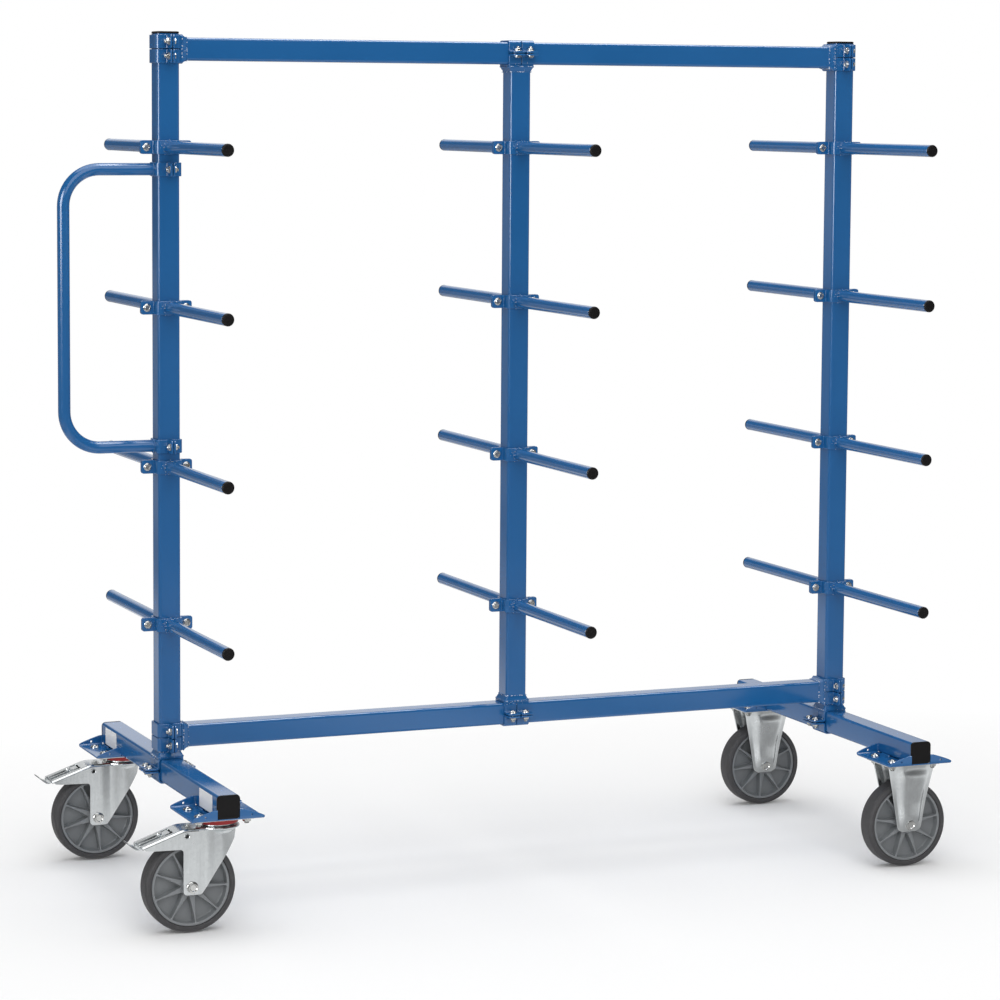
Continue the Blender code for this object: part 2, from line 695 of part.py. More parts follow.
def swivel_plate():
    """Return the swivel caster's top plate with its race, kingpin and mount bolts."""
    race_low = PLATE_BOTTOM - RACE_DROP + SEAL_GAP
    crown_low = race_low - FIT_GAP - CROWN_DEPTH
    nut_top = crown_low - FIT_GAP
    pieces = [caster_plate(PLATE_BOTTOM),
              cylinder((0, 0, PLATE_BOTTOM + WELD_DEPTH), (0, 0, race_low), RACE_RADIUS, WHEEL_SIDES),
              cylinder((0, 0, race_low + WELD_DEPTH), (0, 0, nut_top - KINGPIN_NUT_HEIGHT), KINGPIN_RADIUS,
                       HOLE_SIDES),
              cylinder((0, 0, nut_top), (0, 0, nut_top - KINGPIN_NUT_HEIGHT - WELD_DEPTH),
                       KINGPIN_NUT_RADIUS, HEX_SIDES)]
    return fused(pieces + mount_bolts(PLATE_BOTTOM))


def seal_ring():
    """Return the seal ring around the race."""
    top = PLATE_BOTTOM - FIT_GAP
    low = top - SEAL_HEIGHT
    inner = RACE_RADIUS + SEAL_GAP
    profile = [(SEAL_RADIUS, top), (SEAL_RADIUS - SEAL_TAPER, low), (inner, low), (inner, top)]
    return turned(profile, WHEEL_SIDES)


CROWN_TOP = PLATE_BOTTOM - RACE_DROP + SEAL_GAP - FIT_GAP
FORK_TOP = CROWN_TOP - FIT_GAP


def fork_outline():
    """Return the outline of the swivel fork's side plate, in X and Z."""
    leg_low = WHEEL_RADIUS - LEG_DROP
    arm_tip_z = FORK_TOP - BRAKE_ARM_FALL
    notch_x = -SWIVEL_TRAIL - LEG_HALF_WIDTH
    return rounded([
        (notch_x, leg_low, LEG_ROUNDING, 2),
        (-SWIVEL_TRAIL + LEG_HALF_WIDTH, leg_low, LEG_ROUNDING, 2),
        (FORK_FRONT - FORK_WAIST_SLANT, FORK_TOP - FORK_WAIST_DROP, FORK_ROUNDING, 2),
        (FORK_FRONT - FORK_SHOULDER_SLANT, FORK_TOP - FORK_SHOULDER_DROP),
        (FORK_FRONT, FORK_TOP - CROWN_FLANGE),
        (FORK_FRONT - CROWN_FLANGE, FORK_TOP - FIT_GAP),
        (-BRAKE_ARM_START, FORK_TOP - FIT_GAP),
        (-BRAKE_ARM_REACH, arm_tip_z),
        (-BRAKE_ARM_REACH + BRAKE_ARM_TIP_SLANT / 2, arm_tip_z - BRAKE_ARM_TIP_DEPTH),
        (-BRAKE_ARM_REACH + BRAKE_ARM_CHIN, FORK_TOP - BRAKE_ARM_DEPTH + FORK_PLATE_THICKNESS / 2),
        (notch_x, FORK_TOP - BRAKE_ARM_DEPTH, FORK_ROUNDING, 2)])


def fork_mesh():
    """Return the swivel fork: crown, two side plates and the sloping cover over the brake."""
    inner = FORK_INNER_WIDTH / 2
    outer = inner + FORK_PLATE_THICKNESS
    crown_low = CROWN_TOP - CROWN_DEPTH
    bore = KINGPIN_RADIUS + KINGPIN_CLEARANCE
    crown = turned([(CROWN_RADIUS, CROWN_TOP), (CROWN_RADIUS, CROWN_TOP - CROWN_FLANGE),
                    (CROWN_FOOT_RADIUS, crown_low), (bore, crown_low), (bore, CROWN_TOP)], WHEEL_SIDES)
    pieces = [crown]
    for side in (-1, 1):
        place = axes_frame((0, side * (inner + outer) / 2, 0), X_AXIS, Z_AXIS)
        pieces.append(extruded([fork_outline()], FORK_PLATE_THICKNESS, place))
    deck_start = -BRAKE_ARM_START
    pieces.append(box((deck_start, -inner - WELD_DEPTH, FORK_TOP - FORK_PLATE_THICKNESS),
                      (-CROWN_FOOT_RADIUS + OVERRUN, inner + WELD_DEPTH, FORK_TOP - FIT_GAP * 2)))
    slope_start = Vector((deck_start, 0, FORK_TOP - FIT_GAP))
    slope_end = Vector((-BRAKE_ARM_REACH, 0, FORK_TOP - BRAKE_ARM_FALL))
    along = (slope_end - slope_start).normalized()
    length = (slope_end - slope_start).length
    middle = (slope_start + slope_end) / 2
    half_y = outer - WELD_DEPTH
    sheet = rounded([(-length / 2 - OVERRUN, -half_y), (length / 2, -half_y, FORK_ROUNDING, 1),
                     (length / 2, half_y, FORK_ROUNDING, 1), (-length / 2 - OVERRUN, half_y)])
    slot_start = -length / 2 + COVER_SLOT_START
    slot_half = COVER_SLOT_WIDTH / 2
    slot = [(slot_start, -slot_half), (slot_start + COVER_SLOT_LENGTH, -slot_half),
            (slot_start + COVER_SLOT_LENGTH, slot_half), (slot_start, slot_half)]
    pieces.append(extruded([sheet, slot], FORK_PLATE_THICKNESS, axes_frame(middle, along, Y_AXIS)))
    holes = []
    pivot_z, pivot_bore = FORK_TOP - PEDAL_PIVOT_DROP, PEDAL_PIN_RADIUS + PEDAL_PIN_CLEARANCE
    for x, z, radius in ((-SWIVEL_TRAIL, WHEEL_RADIUS, AXLE_RADIUS + FIT_GAP),
                         (-PEDAL_PIVOT_BACK, pivot_z, pivot_bore)):
        reach = outer + OVERRUN
        holes.append(cylinder((x, -reach, z), (x, reach, z), radius, HOLE_SIDES))
    return fused(pieces, holes)


def pedal_mesh():
    """Return the brake pedal about its pivot: pin, lever under the cover, upturned tip and shoe."""
    inner = FORK_INNER_WIDTH / 2 - FIT_GAP * 2
    outer = FORK_INNER_WIDTH / 2 + FORK_PLATE_THICKNESS
    slope = BRAKE_ARM_FALL / (BRAKE_ARM_REACH - BRAKE_ARM_START)
    cover_drop = FORK_PLATE_THICKNESS / 2 + PEDAL_COVER_GAP + PEDAL_THICKNESS / 2

    def under_cover(x):
        """Return the lever's height under the cover at a place along the arm."""
        return PEDAL_PIVOT_DROP - (x - BRAKE_ARM_START) * slope - cover_drop

    knee = PEDAL_REACH - PEDAL_TIP_LENGTH
    path = [(0, 0), (PEDAL_PIVOT_BACK - knee, under_cover(knee)),
            (PEDAL_PIVOT_BACK - PEDAL_REACH, under_cover(knee) + PEDAL_TIP_RISE)]
    pieces = [cylinder((0, -outer, 0), (0, outer, 0), PEDAL_PIN_RADIUS, HOLE_SIDES),
              cylinder((0, -inner, 0), (0, inner, 0), PEDAL_BARREL_RADIUS, HOLE_SIDES)]
    half = PEDAL_THICKNESS / 2
    outline = [(x, z + half) for x, z in path] + [(x, z - half) for x, z in reversed(path)]
    pieces.append(extruded([outline], PEDAL_WIDTH, axes_frame((0, 0, 0), X_AXIS, Z_AXIS)))
    shoe_x = -SHOE_PLACE
    wheel_x = SWIVEL_TRAIL - PEDAL_PIVOT_BACK - shoe_x
    pivot_z = FORK_TOP - PEDAL_PIVOT_DROP
    tyre_z = WHEEL_RADIUS + math.sqrt(WHEEL_RADIUS ** 2 - wheel_x ** 2) - pivot_z
    share = SHOE_PLACE / (knee - PEDAL_PIVOT_BACK)
    lever_z = under_cover(knee) * share
    pieces.append(box((shoe_x - SHOE_LENGTH / 2, -SHOE_WIDTH / 2, tyre_z + SHOE_TYRE_GAP),
                      (shoe_x + SHOE_LENGTH / 2, SHOE_WIDTH / 2, lever_z)))
    return fused(pieces)


def axle_mesh(outer_half):
    """Return a wheel axle bolt along Y through a fork whose outer faces lie at outer_half."""
    seat = Vector((0, -outer_half - FIT_GAP, 0))
    far = -seat
    pieces = [cylinder(seat - Y_AXIS * AXLE_HEAD_HEIGHT, seat, AXLE_HEAD_RADIUS, HEX_SIDES),
              cylinder(seat - Y_AXIS * WELD_DEPTH, far + Y_AXIS * (AXLE_HEAD_HEIGHT + AXLE_END_LENGTH),
                       AXLE_RADIUS, HOLE_SIDES),
              cylinder(far, far + Y_AXIS * AXLE_HEAD_HEIGHT, AXLE_HEAD_RADIUS, HEX_SIDES)]
    return fused(pieces)


def rim_mesh(first_angle):
    """Return the spoked rim: band, web, hub and tapered ribs through the web, from a first angle."""
    outer = WHEEL_RADIUS - TYRE_DEPTH - FIT_GAP
    inner = outer - RIM_BAND
    half, web, hub = RIM_WIDTH / 2, WEB_THICKNESS / 2, HUB_LENGTH / 2
    bore = AXLE_RADIUS + AXLE_RUNNING_GAP
    upper = [(outer, half), (inner, half), (inner - WEB_THICKNESS / 2, web), (HUB_RADIUS, web),
             (HUB_RADIUS, hub), (bore, hub)]
    profile = upper + [(radius, -height) for radius, height in reversed(upper)]
    upright = Matrix.Rotation(math.pi / 2, 4, "X")
    pieces = [turned(profile, WHEEL_SIDES, upright)]
    for index in range(RIB_COUNT):
        rib = [(HUB_RADIUS - OVERRUN, -RIB_ROOT_WIDTH / 2), (inner + WELD_DEPTH, -RIB_TIP_WIDTH / 2),
               (inner + WELD_DEPTH, RIB_TIP_WIDTH / 2), (HUB_RADIUS - OVERRUN, RIB_ROOT_WIDTH / 2)]
        turn = Matrix.Rotation(math.radians(first_angle) + math.tau * index / RIB_COUNT, 4, "Z")
        pieces.append(extruded([rib], RIB_DEPTH, upright @ turn))
    return fused(pieces)


def tyre_mesh():
    """Return the tyre: a turned ring with rounded shoulders."""
    outer, inner = WHEEL_RADIUS, WHEEL_RADIUS - TYRE_DEPTH
    half = WHEEL_WIDTH / 2
    upper = [(outer, half - TYRE_SHOULDER), (outer - TYRE_SHOULDER, half), (inner, half - TYRE_SHOULDER / 2)]
    profile = upper + [(radius, -height) for radius, height in reversed(upper)]
    return turned(profile, WHEEL_SIDES, Matrix.Rotation(math.pi / 2, 4, "X"))


def bracket_leg(side):
    """Return one pressed leg of the fixed bracket as a grid with Solidify."""
    plate_low = PLATE_BOTTOM + WELD_DEPTH
    foot = WHEEL_RADIUS - LEG_DROP
    leg_y = FORK_INNER_WIDTH / 2
    splay_low = PLATE_BOTTOM - BRACKET_SPLAY_HEIGHT
    flat_share = LEG_DROP * 2 / (plate_low - foot)
    bulge_start_share = 0.40
    width_shares = ((0.0, 0.31), (0.04, 0.41), (flat_share, 0.55), (bulge_start_share, 0.62), (0.75, 0.83),
                    (1.0, 1.0))
    bulge_shares = ((-1.0, 0.0), (-0.50, 1.0), (0.50, 1.0), (1.0, 0.0))
    working = bmesh.new()
    rows = []
    for height_share, width_share in width_shares:
        z = foot + (plate_low - foot) * height_share
        splay = max(0.0, (z - splay_low) / (plate_low - splay_low))
        y = leg_y + (BRACKET_TOP_HALF_WIDTH - leg_y) * splay
        row = []
        for place_share, bulge_share in bulge_shares:
            rise = (height_share - flat_share) / (bulge_start_share - flat_share)
            bulge = BRACKET_BULGE * bulge_share * min(1.0, max(0.0, rise))
            row.append(working.verts.new((place_share * width_share * BRACKET_TOP_HALF_LENGTH,
                                          side * (y + bulge), z)))
        rows.append(row)
    for low_row, high_row in zip(rows, rows[1:]):
        for index in range(len(low_row) - 1):
            corners = (low_row[index], low_row[index + 1], high_row[index + 1], high_row[index])
            working.faces.new(corners if side < 0 else corners[::-1])
    mesh = bpy.data.meshes.new("leg")
    working.to_mesh(mesh)
    working.free()
    obj = shape_object(mesh)
    wall = obj.modifiers.new("wall", "SOLIDIFY")
    wall.thickness = BRACKET_THICKNESS
    wall.offset = 1
    return frozen(obj)


def bracket_mesh():
    """Return the fixed caster's bracket: top plate with its bolts and two pressed legs."""
    pieces = [caster_plate(PLATE_BOTTOM)] + [bracket_leg(side) for side in (-1, 1)]
    pieces += mount_bolts(PLATE_BOTTOM)
    reach = FORK_INNER_WIDTH
    hole = cylinder((0, -reach, WHEEL_RADIUS), (0, reach, WHEEL_RADIUS), AXLE_RADIUS + FIT_GAP, HOLE_SIDES)
    return fused(pieces, [hole])


def build_casters(root):
    """Build two braked swivel casters on the left and two fixed casters on the right."""
    tyre = tyre_mesh()
    plate, seal, fork, pedal, bracket = swivel_plate(), seal_ring(), fork_mesh(), pedal_mesh(), bracket_mesh()
    axle = axle_mesh(FORK_INNER_WIDTH / 2 + FORK_PLATE_THICKNESS)
    for end, y in (("front", -CASTER_Y), ("back", CASTER_Y)):
        mount = add_empty(f"swivel_{end}_place", (POST_NAMES["left"], y, 0), root)
        add_part(f"swivel_{end}_plate", plate.copy(), "zinc_plate", (0, 0, 0), mount)
        add_part(f"swivel_{end}_seal", seal.copy(), "red_seal", (0, 0, 0), mount)
        body = add_part(f"swivel_{end}_fork", fork.copy(), "zinc_plate", (0, 0, 0), mount)
        add_part(f"swivel_{end}_pedal", pedal.copy(), "zinc_plate",
                 (-PEDAL_PIVOT_BACK, 0, FORK_TOP - PEDAL_PIVOT_DROP), body)
        add_wheel(f"swivel_{end}", tyre, axle, (-SWIVEL_TRAIL, 0, WHEEL_RADIUS), body)
        mount = add_empty(f"fixed_{end}_place", (POST_NAMES["right"], y, 0), root)
        add_part(f"fixed_{end}_bracket", bracket.copy(), "zinc_plate", (0, 0, 0), mount)
        add_wheel(f"fixed_{end}", tyre, axle, (0, 0, WHEEL_RADIUS), mount)


def add_wheel(name, tyre, axle, place, parent):
    """Add a wheel's rim, tyre and axle at its place under a parent."""
    add_part(f"{name}_axle", axle.copy(), "zinc_plate", place, parent)
    add_part(f"{name}_rim", rim_mesh(WHEEL_ANGLES[name]), "grey_rim", place, parent)
    add_part(f"{name}_tyre", tyre.copy(), "dark_tyre", place, parent)


def main():
    """Build the cart."""
    root = add_empty("cart_root", (FRAME_SHIFT, 0, 0), None)
    build_base_beams(root)
    build_posts(root)
    build_beams(root)
    build_arms(root)
    build_handle(root)
    build_casters(root)


main()
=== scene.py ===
"""Dressed model of a long material cart, set up in a plain studio at the photograph's viewing angle.

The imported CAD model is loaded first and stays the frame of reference. Each sub-assembly is a class that
builds its own fine meshes in place of the CAD nodes, gives them procedural finishes and hangs them on the
bodies that carry them. Everything is in metres: X along the cart, Y across it (front at -Y), Z up.
"""
from __future__ import annotations

import json
import logging
import math
import random
from contextlib import contextmanager
from dataclasses import dataclass, field
from enum import Enum
from typing import Callable, Iterator, Sequence

import bmesh
import bpy
from mathutils import Matrix, Vector

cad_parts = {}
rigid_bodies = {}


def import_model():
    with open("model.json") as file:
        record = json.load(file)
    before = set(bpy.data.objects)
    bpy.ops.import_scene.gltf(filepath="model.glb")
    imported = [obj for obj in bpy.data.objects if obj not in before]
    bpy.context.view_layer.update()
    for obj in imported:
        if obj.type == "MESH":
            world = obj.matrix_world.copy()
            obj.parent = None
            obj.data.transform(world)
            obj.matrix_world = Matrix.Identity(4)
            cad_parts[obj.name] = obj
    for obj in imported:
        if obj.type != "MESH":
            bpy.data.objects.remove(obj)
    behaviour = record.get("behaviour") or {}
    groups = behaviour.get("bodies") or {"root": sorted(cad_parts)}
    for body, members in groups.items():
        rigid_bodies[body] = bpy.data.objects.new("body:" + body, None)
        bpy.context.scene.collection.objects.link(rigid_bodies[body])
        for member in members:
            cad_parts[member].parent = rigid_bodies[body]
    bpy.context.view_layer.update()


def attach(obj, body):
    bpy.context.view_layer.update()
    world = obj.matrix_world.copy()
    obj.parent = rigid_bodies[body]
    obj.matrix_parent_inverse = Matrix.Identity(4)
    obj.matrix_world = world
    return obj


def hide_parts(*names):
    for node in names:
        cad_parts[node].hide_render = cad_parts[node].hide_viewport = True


LOG = logging.getLogger("cart")
Points = Sequence[tuple[float, float]]
Colour = tuple[float, float, float]
Mesh, Socket = bpy.types.Mesh, bpy.types.NodeSocket

X, Y, Z = Vector((1, 0, 0)), Vector((0, 1, 0)), Vector((0, 0, 1))
TURN_BACK, TURN_OVER = Matrix.Rotation(math.pi, 4, "Z"), Matrix.Rotation(math.pi, 4, "X")
FORWARD = Matrix.Rotation(math.pi / 2, 4, "X")  # turns +Z to the front
SIDES = (-1, 1)
SHARP = math.radians(38)

# Frame tube and its clamps
TUBE, CORNER = 0.050, 0.0062
HALF = TUBE / 2
STRAP, STRAP_HEIGHT, STRAP_SLIT = 0.004, 0.030, 0.0014
GRIP_INNER = HALF + 0.0003
GRIP_OUTER = GRIP_INNER + STRAP
EAR, EAR_GAP = 0.0285, 0.001
EAR_TIP, BOLT_PLACE = GRIP_OUTER + EAR, GRIP_OUTER + EAR * 0.52
FLARE = 0.012
BEAD, BEAD_OUT = 0.0019, 0.0006  # radius of a heavy weld bead, and how far its middle lies off the metal

# Places of the main parts
POSTS = {"left": -0.75825, "middle": 0.07175, "right": 0.90175}
BASE_Z, BOTTOM_Z, TOP_Z, POST_TOP = 0.2763, 0.3493, 1.8633, 1.8963
ARM_LEVELS = (0.6003, 0.9503, 1.3003, 1.6503)
ARM_TIP, BAR_RADIUS = 0.445, 0.0135
HANDLE_TOP, HANDLE_HEIGHT, HANDLE_REACH, HANDLE_BEND = 1.6023, 0.606, 0.230, 0.080
BEAM_HALF, CAP = 0.440, 0.005
CASTER_Y, CASTER_TOP, PLATE_LOW = 0.365, 0.247, 0.242
WHEEL_RADIUS, TRAIL, FORK_INNER = 0.100, 0.065, 0.030
ENDS = {"front": -1, "back": 1}


class Slot(Enum):
    """The record's material slots."""

    BLUE = "blue_powder_coat"
    ZINC = "zinc_plate"
    BLACK = "black_cap"
    RIM = "grey_rim"
    TYRE = "dark_tyre"
    SEAL = "red_seal"


# ---------------------------------------------------------------- shaders


class Graph:
    """Shorthand for adding and linking the nodes of one tree."""

    def __init__(self, tree: bpy.types.NodeTree) -> None:
        """Work on a tree."""
        self.tree = tree

    def fill(self, node: bpy.types.Node, inputs: dict) -> None:
        """Set or link a node's inputs.

        Args:
            node: The node.
            inputs: Values or output sockets by input name or number.
        """
        for key, value in inputs.items():
            if isinstance(value, Socket):
                self.tree.links.new(value, node.inputs[key])
            else:
                node.inputs[key].default_value = value

    def node(self, kind: str, inputs: dict | None = None, **settings: object) -> bpy.types.Node:
        """Add a node.

        Args:
            kind: The node's type name.
            inputs: Values or output sockets by input name or number.
            settings: Properties of the node.

        Returns:
            The new node.
        """
        node = self.tree.nodes.new(kind)
        for name, value in settings.items():
            setattr(node, name, value)
        self.fill(node, inputs or {})
        return node

    def place(self) -> Socket:
        """Add the object coordinates."""
        return self.node("ShaderNodeTexCoord").outputs["Object"]

    def math(self, operation: str, *values: object, clamp: bool = False) -> Socket:
        """Add a Math node and return its output."""
        return self.node("ShaderNodeMath", dict(enumerate(values)), operation=operation,
                         use_clamp=clamp).outputs[0]

    def vector(self, operation: str, *values: object) -> bpy.types.bpy_prop_collection:
        """Add a Vector Math node and return its outputs."""
        return self.node("ShaderNodeVectorMath", dict(enumerate(values)), operation=operation).outputs

    def noise(self, vector: Socket, scale: object, detail: float = 3.0, roughness: float = 0.5) -> Socket:
        """Add a Noise Texture and return its value."""
        return self.node("ShaderNodeTexNoise", {"Vector": vector, "Scale": scale, "Detail": detail,
                                                "Roughness": roughness}).outputs["Fac"]

    def ramp(self, value: Socket, low: float, high: float, out_low: float, out_high: float) -> Socket:
        """Add a clamped Map Range and return its result."""
        return self.node("ShaderNodeMapRange", {"Value": value, "From Min": low, "From Max": high,
                                                "To Min": out_low, "To Max": out_high}).outputs[0]

    def mix(self, factor: object, first: object, second: object) -> Socket:
        """Add a colour Mix and return its result."""
        return self.node("ShaderNodeMix", {0: factor, 6: first, 7: second}, data_type="RGBA").outputs[2]

    def choose(self, mask: Socket, first: object, second: object) -> Socket:
        """Add a Mix of two numbers and return its result."""
        return self.node("ShaderNodeMix", {0: mask, 2: first, 3: second}).outputs[0]

    def tint(self, level: Socket, colour: Socket) -> Socket:
        """Return a colour with its brightness multiplied by a level."""
        return self.node("ShaderNodeHueSaturation", {"Value": level, "Color": colour}).outputs[0]


@dataclass(frozen=True)
class ShaderGroup:
    """A shared surface effect kept as a node group.

    Attributes:
        name: The group's name.
        inputs: Defaults by input name.
        outputs: Output names.
        body: Fills the group; gets its graph and inputs by name, returns its outputs by name.
    """

    name: str
    inputs: dict[str, object]
    outputs: tuple[str, ...]
    body: Callable[[Graph, dict], dict]

    def tree(self) -> bpy.types.NodeTree:
        """Return the group's tree, made at its first use.

        Returns:
            The tree.
        """
        tree = bpy.data.node_groups.get(self.name)
        if tree is None:
            kinds = {"Color": "NodeSocketColor", "Normal": "NodeSocketVector"}
            tree = bpy.data.node_groups.new(self.name, "ShaderNodeTree")
            for name, default in self.inputs.items():
                tree.interface.new_socket(name, in_out="INPUT", socket_type=kinds.get(
                    name, "NodeSocketFloat")).default_value = default
            for name in self.outputs:
                tree.interface.new_socket(name, in_out="OUTPUT", socket_type=kinds.get(
                    name, "NodeSocketFloat"))
            graph = Graph(tree)
            graph.node("NodeGroupOutput", self.body(graph, graph.node("NodeGroupInput").outputs))
        return tree

    def use(self, graph: Graph, **inputs: object) -> bpy.types.bpy_prop_collection:
        """Add the group to a material's graph and return its outputs."""
        return graph.node("ShaderNodeGroup", inputs, node_tree=self.tree()).outputs


def _grain(graph: Graph, inputs: dict) -> dict:
    """Fill the group of fine and broad relief.

    Args:
        graph: The group's graph.
        inputs: Its inputs by name.

    Returns:
        Its outputs by name.
    """
    place = graph.place()
    fine = graph.noise(place, inputs["Scale"], 2.0)
    broad = graph.noise(place, graph.math("MULTIPLY", inputs["Scale"], 0.3))
    height = graph.math("MULTIPLY_ADD", broad, 0.2, fine)
    bump = graph.node("ShaderNodeBump", {"Strength": inputs["Strength"], "Distance": 0.0004, "Height": height})
    return {"Normal": bump.outputs[0]}


def _mottle(graph: Graph, inputs: dict) -> dict:
    """Fill the group of cloudy changes of brightness.

    Args:
        graph: The group's graph.
        inputs: Its inputs by name.

    Returns:
        Its outputs by name.
    """
    cloud = graph.noise(graph.place(), inputs["Scale"], 5.0, 0.6)
    level = graph.math("MULTIPLY_ADD", graph.ramp(cloud, 0.3, 0.7, -1.0, 1.0), inputs["Spread"], 1.0)
    return {"Color": graph.tint(level, inputs["Color"]), "Cloud": cloud}


def _edges(graph: Graph, inputs: dict) -> dict:
    """Fill the group of a mask along edges, broken up by noise, for painted edge highlights and the label's
    printed border.

    Args:
        graph: The group's graph.
        inputs: Its inputs by name.

    Returns:
        Its outputs by name.
    """
    soft = graph.node("ShaderNodeBevel", {"Radius": inputs["Radius"]}, samples=4).outputs[0]
    hard = graph.node("ShaderNodeNewGeometry").outputs["Normal"]
    rim = graph.ramp(graph.vector("DOT_PRODUCT", soft, hard)["Value"], 0.99, 0.80, 0.0, 1.0)
    broken = graph.ramp(graph.noise(graph.place(), 140.0), 0.38, 0.66, 0.15, 1.0)
    return {"Mask": graph.math("MULTIPLY", rim, broken, clamp=True)}


def _dust(graph: Graph, inputs: dict) -> dict:
    """Fill the group of a patchy mask on upward faces.

    Args:
        graph: The group's graph.
        inputs: Its inputs by name.

    Returns:
        Its outputs by name.
    """
    normal = graph.node("ShaderNodeNewGeometry").outputs["Normal"]
    lying = graph.ramp(graph.node("ShaderNodeSeparateXYZ", {0: normal}).outputs[2], 0.35, 1.0, 0.0, 1.0)
    patchy = graph.ramp(graph.noise(graph.place(), 9.0, 6.0, 0.65), 0.35, 0.75, 0.2, 1.0)
    return {"Mask": graph.math("MULTIPLY", graph.math("MULTIPLY", lying, patchy), inputs["Amount"])}


GRAIN = ShaderGroup("surface_grain", {"Scale": 400.0, "Strength": 0.1}, ("Normal",), _grain)
MOTTLE = ShaderGroup("colour_mottle", {"Color": (0.5, 0.5, 0.5, 1), "Spread": 0.05, "Scale": 6.0},
                     ("Color", "Cloud"), _mottle)
# Mask for painted highlights along edges, and for the label's printed border
EDGES = ShaderGroup("bright_edges", {"Radius": 0.001}, ("Mask",), _edges)
DUST = ShaderGroup("settled_dust", {"Amount": 0.1}, ("Mask",), _dust)
DUST_COLOUR = (0.52, 0.51, 0.49, 1)


@dataclass(frozen=True)
class Finish:
    """A procedural finish.

    Attributes:
        name: The material's name.
        slot: The record's material slot that it matches, if any; it is read but given to no piece.
        colour: Base colour, linear.
        roughness: Lowest and highest roughness.
        mottle: Strength and scale of the colour's variation.
        grain: Scale and strength of the fine relief.
        edge: Colour of a painted highlight along edges, with its share and radius, if any; on the blue coat it
            also stands for thinner powder at edges, and on the label it is a grey printed border.
        dust: Share of dust on upward faces.
        constants: Values set straight on the shader.
    """

    name: str
    slot: Slot | None
    colour: Colour
    roughness: tuple[float, float]
    mottle: tuple[float, float]
    grain: tuple[float, float]
    edge: tuple[Colour, float, float] | None = None
    dust: float = 0.0
    constants: tuple[tuple[str, float], ...] = ()

    def extra(self, graph: Graph, colour: Socket, normal: Socket) -> tuple[Socket, Socket]:
        """Return the colour and normal after what only this finish has."""
        return colour, normal

    def material(self) -> bpy.types.Material:
        """Return the finish's material, made at its first use.

        Returns:
            The material.
        """
        made = bpy.data.materials.get(self.name)
        if made is not None:
            return made
        made = bpy.data.materials.new(self.name)
        made.use_nodes = True
        graph = Graph(made.node_tree)
        varied = MOTTLE.use(graph, Color=(*self.colour, 1), Spread=self.mottle[0], Scale=self.mottle[1])
        relief = GRAIN.use(graph, Scale=self.grain[0], Strength=self.grain[1])
        colour = varied["Color"]
        # Painted highlight along edges, partly thinner powder on the blue coat; a grey printed border on the
        # label
        if self.edge:
            tint, share, radius = self.edge
            mask = EDGES.use(graph, Radius=radius)["Mask"]
            colour = graph.mix(graph.math("MULTIPLY", mask, share), colour, (*tint, 1))
        if self.dust:
            colour = graph.mix(DUST.use(graph, Amount=self.dust)["Mask"], colour, DUST_COLOUR)
        colour, normal = self.extra(graph, colour, relief["Normal"])
        rough = graph.ramp(varied["Cloud"], 0.3, 0.7, *self.roughness)
        graph.fill(made.node_tree.nodes["Principled BSDF"], {
            "Base Color": colour, "Roughness": rough, "Normal": normal, **dict(self.constants)})
        return made


@dataclass(frozen=True)
class ZincFinish(Finish):
    """Bright zinc plate: soft crystal cells and faint rolling streaks."""

    def extra(self, graph: Graph, colour: Socket, normal: Socket) -> tuple[Socket, Socket]:
        """Add crystal cells and streaks.

        Args:
            graph: The material's graph.
            colour: The colour so far.
            normal: The normal so far.

        Returns:
            The colour and the normal.
        """
        place = graph.place()
        cells = graph.node("ShaderNodeTexVoronoi", {"Vector": place, "Scale": 150.0}).outputs["Color"]
        shade = graph.node("ShaderNodeSeparateColor", {0: cells}).outputs[0]
        stretched = graph.node("ShaderNodeMapping", {"Vector": place, "Scale": (90.0, 90.0, 9.0)}).outputs[0]
        streak = graph.ramp(graph.noise(stretched, 2.0, 4.0), 0.3, 0.7, 0.93, 1.0)
        return graph.tint(graph.math("MULTIPLY_ADD", shade, 0.05, streak), colour), normal


@dataclass(frozen=True)
class TyreFinish(Finish):
    """Solid rubber: fine turned lines and a paler tread, by the mesh's own radius attribute."""

    def extra(self, graph: Graph, colour: Socket, normal: Socket) -> tuple[Socket, Socket]:
        """Add turned lines, the tread's paler ring and scuffs.

        Args:
            graph: The material's graph.
            colour: The colour so far.
            normal: The normal so far.

        Returns:
            The colour and the normal.
        """
        radius = graph.node("ShaderNodeAttribute", attribute_name="turn_radius").outputs["Fac"]
        wave = graph.math("SINE", graph.math("MULTIPLY", radius, 6500.0))
        bump = graph.node("ShaderNodeBump", {"Strength": 0.25, "Distance": 0.0002, "Height": wave,
                                             "Normal": normal})
        scuffs = graph.ramp(graph.noise(graph.place(), 60.0, 6.0, 0.7), 0.55, 0.8, 0.0, 0.35)
        tread = graph.ramp(radius, WHEEL_RADIUS - 0.0026, WHEEL_RADIUS - 0.0006, 0.0, 0.30)
        colour = graph.mix(tread, colour, (0.125, 0.124, 0.126, 1))
        return graph.mix(scuffs, colour, (0.13, 0.13, 0.135, 1)), bump.outputs[0]


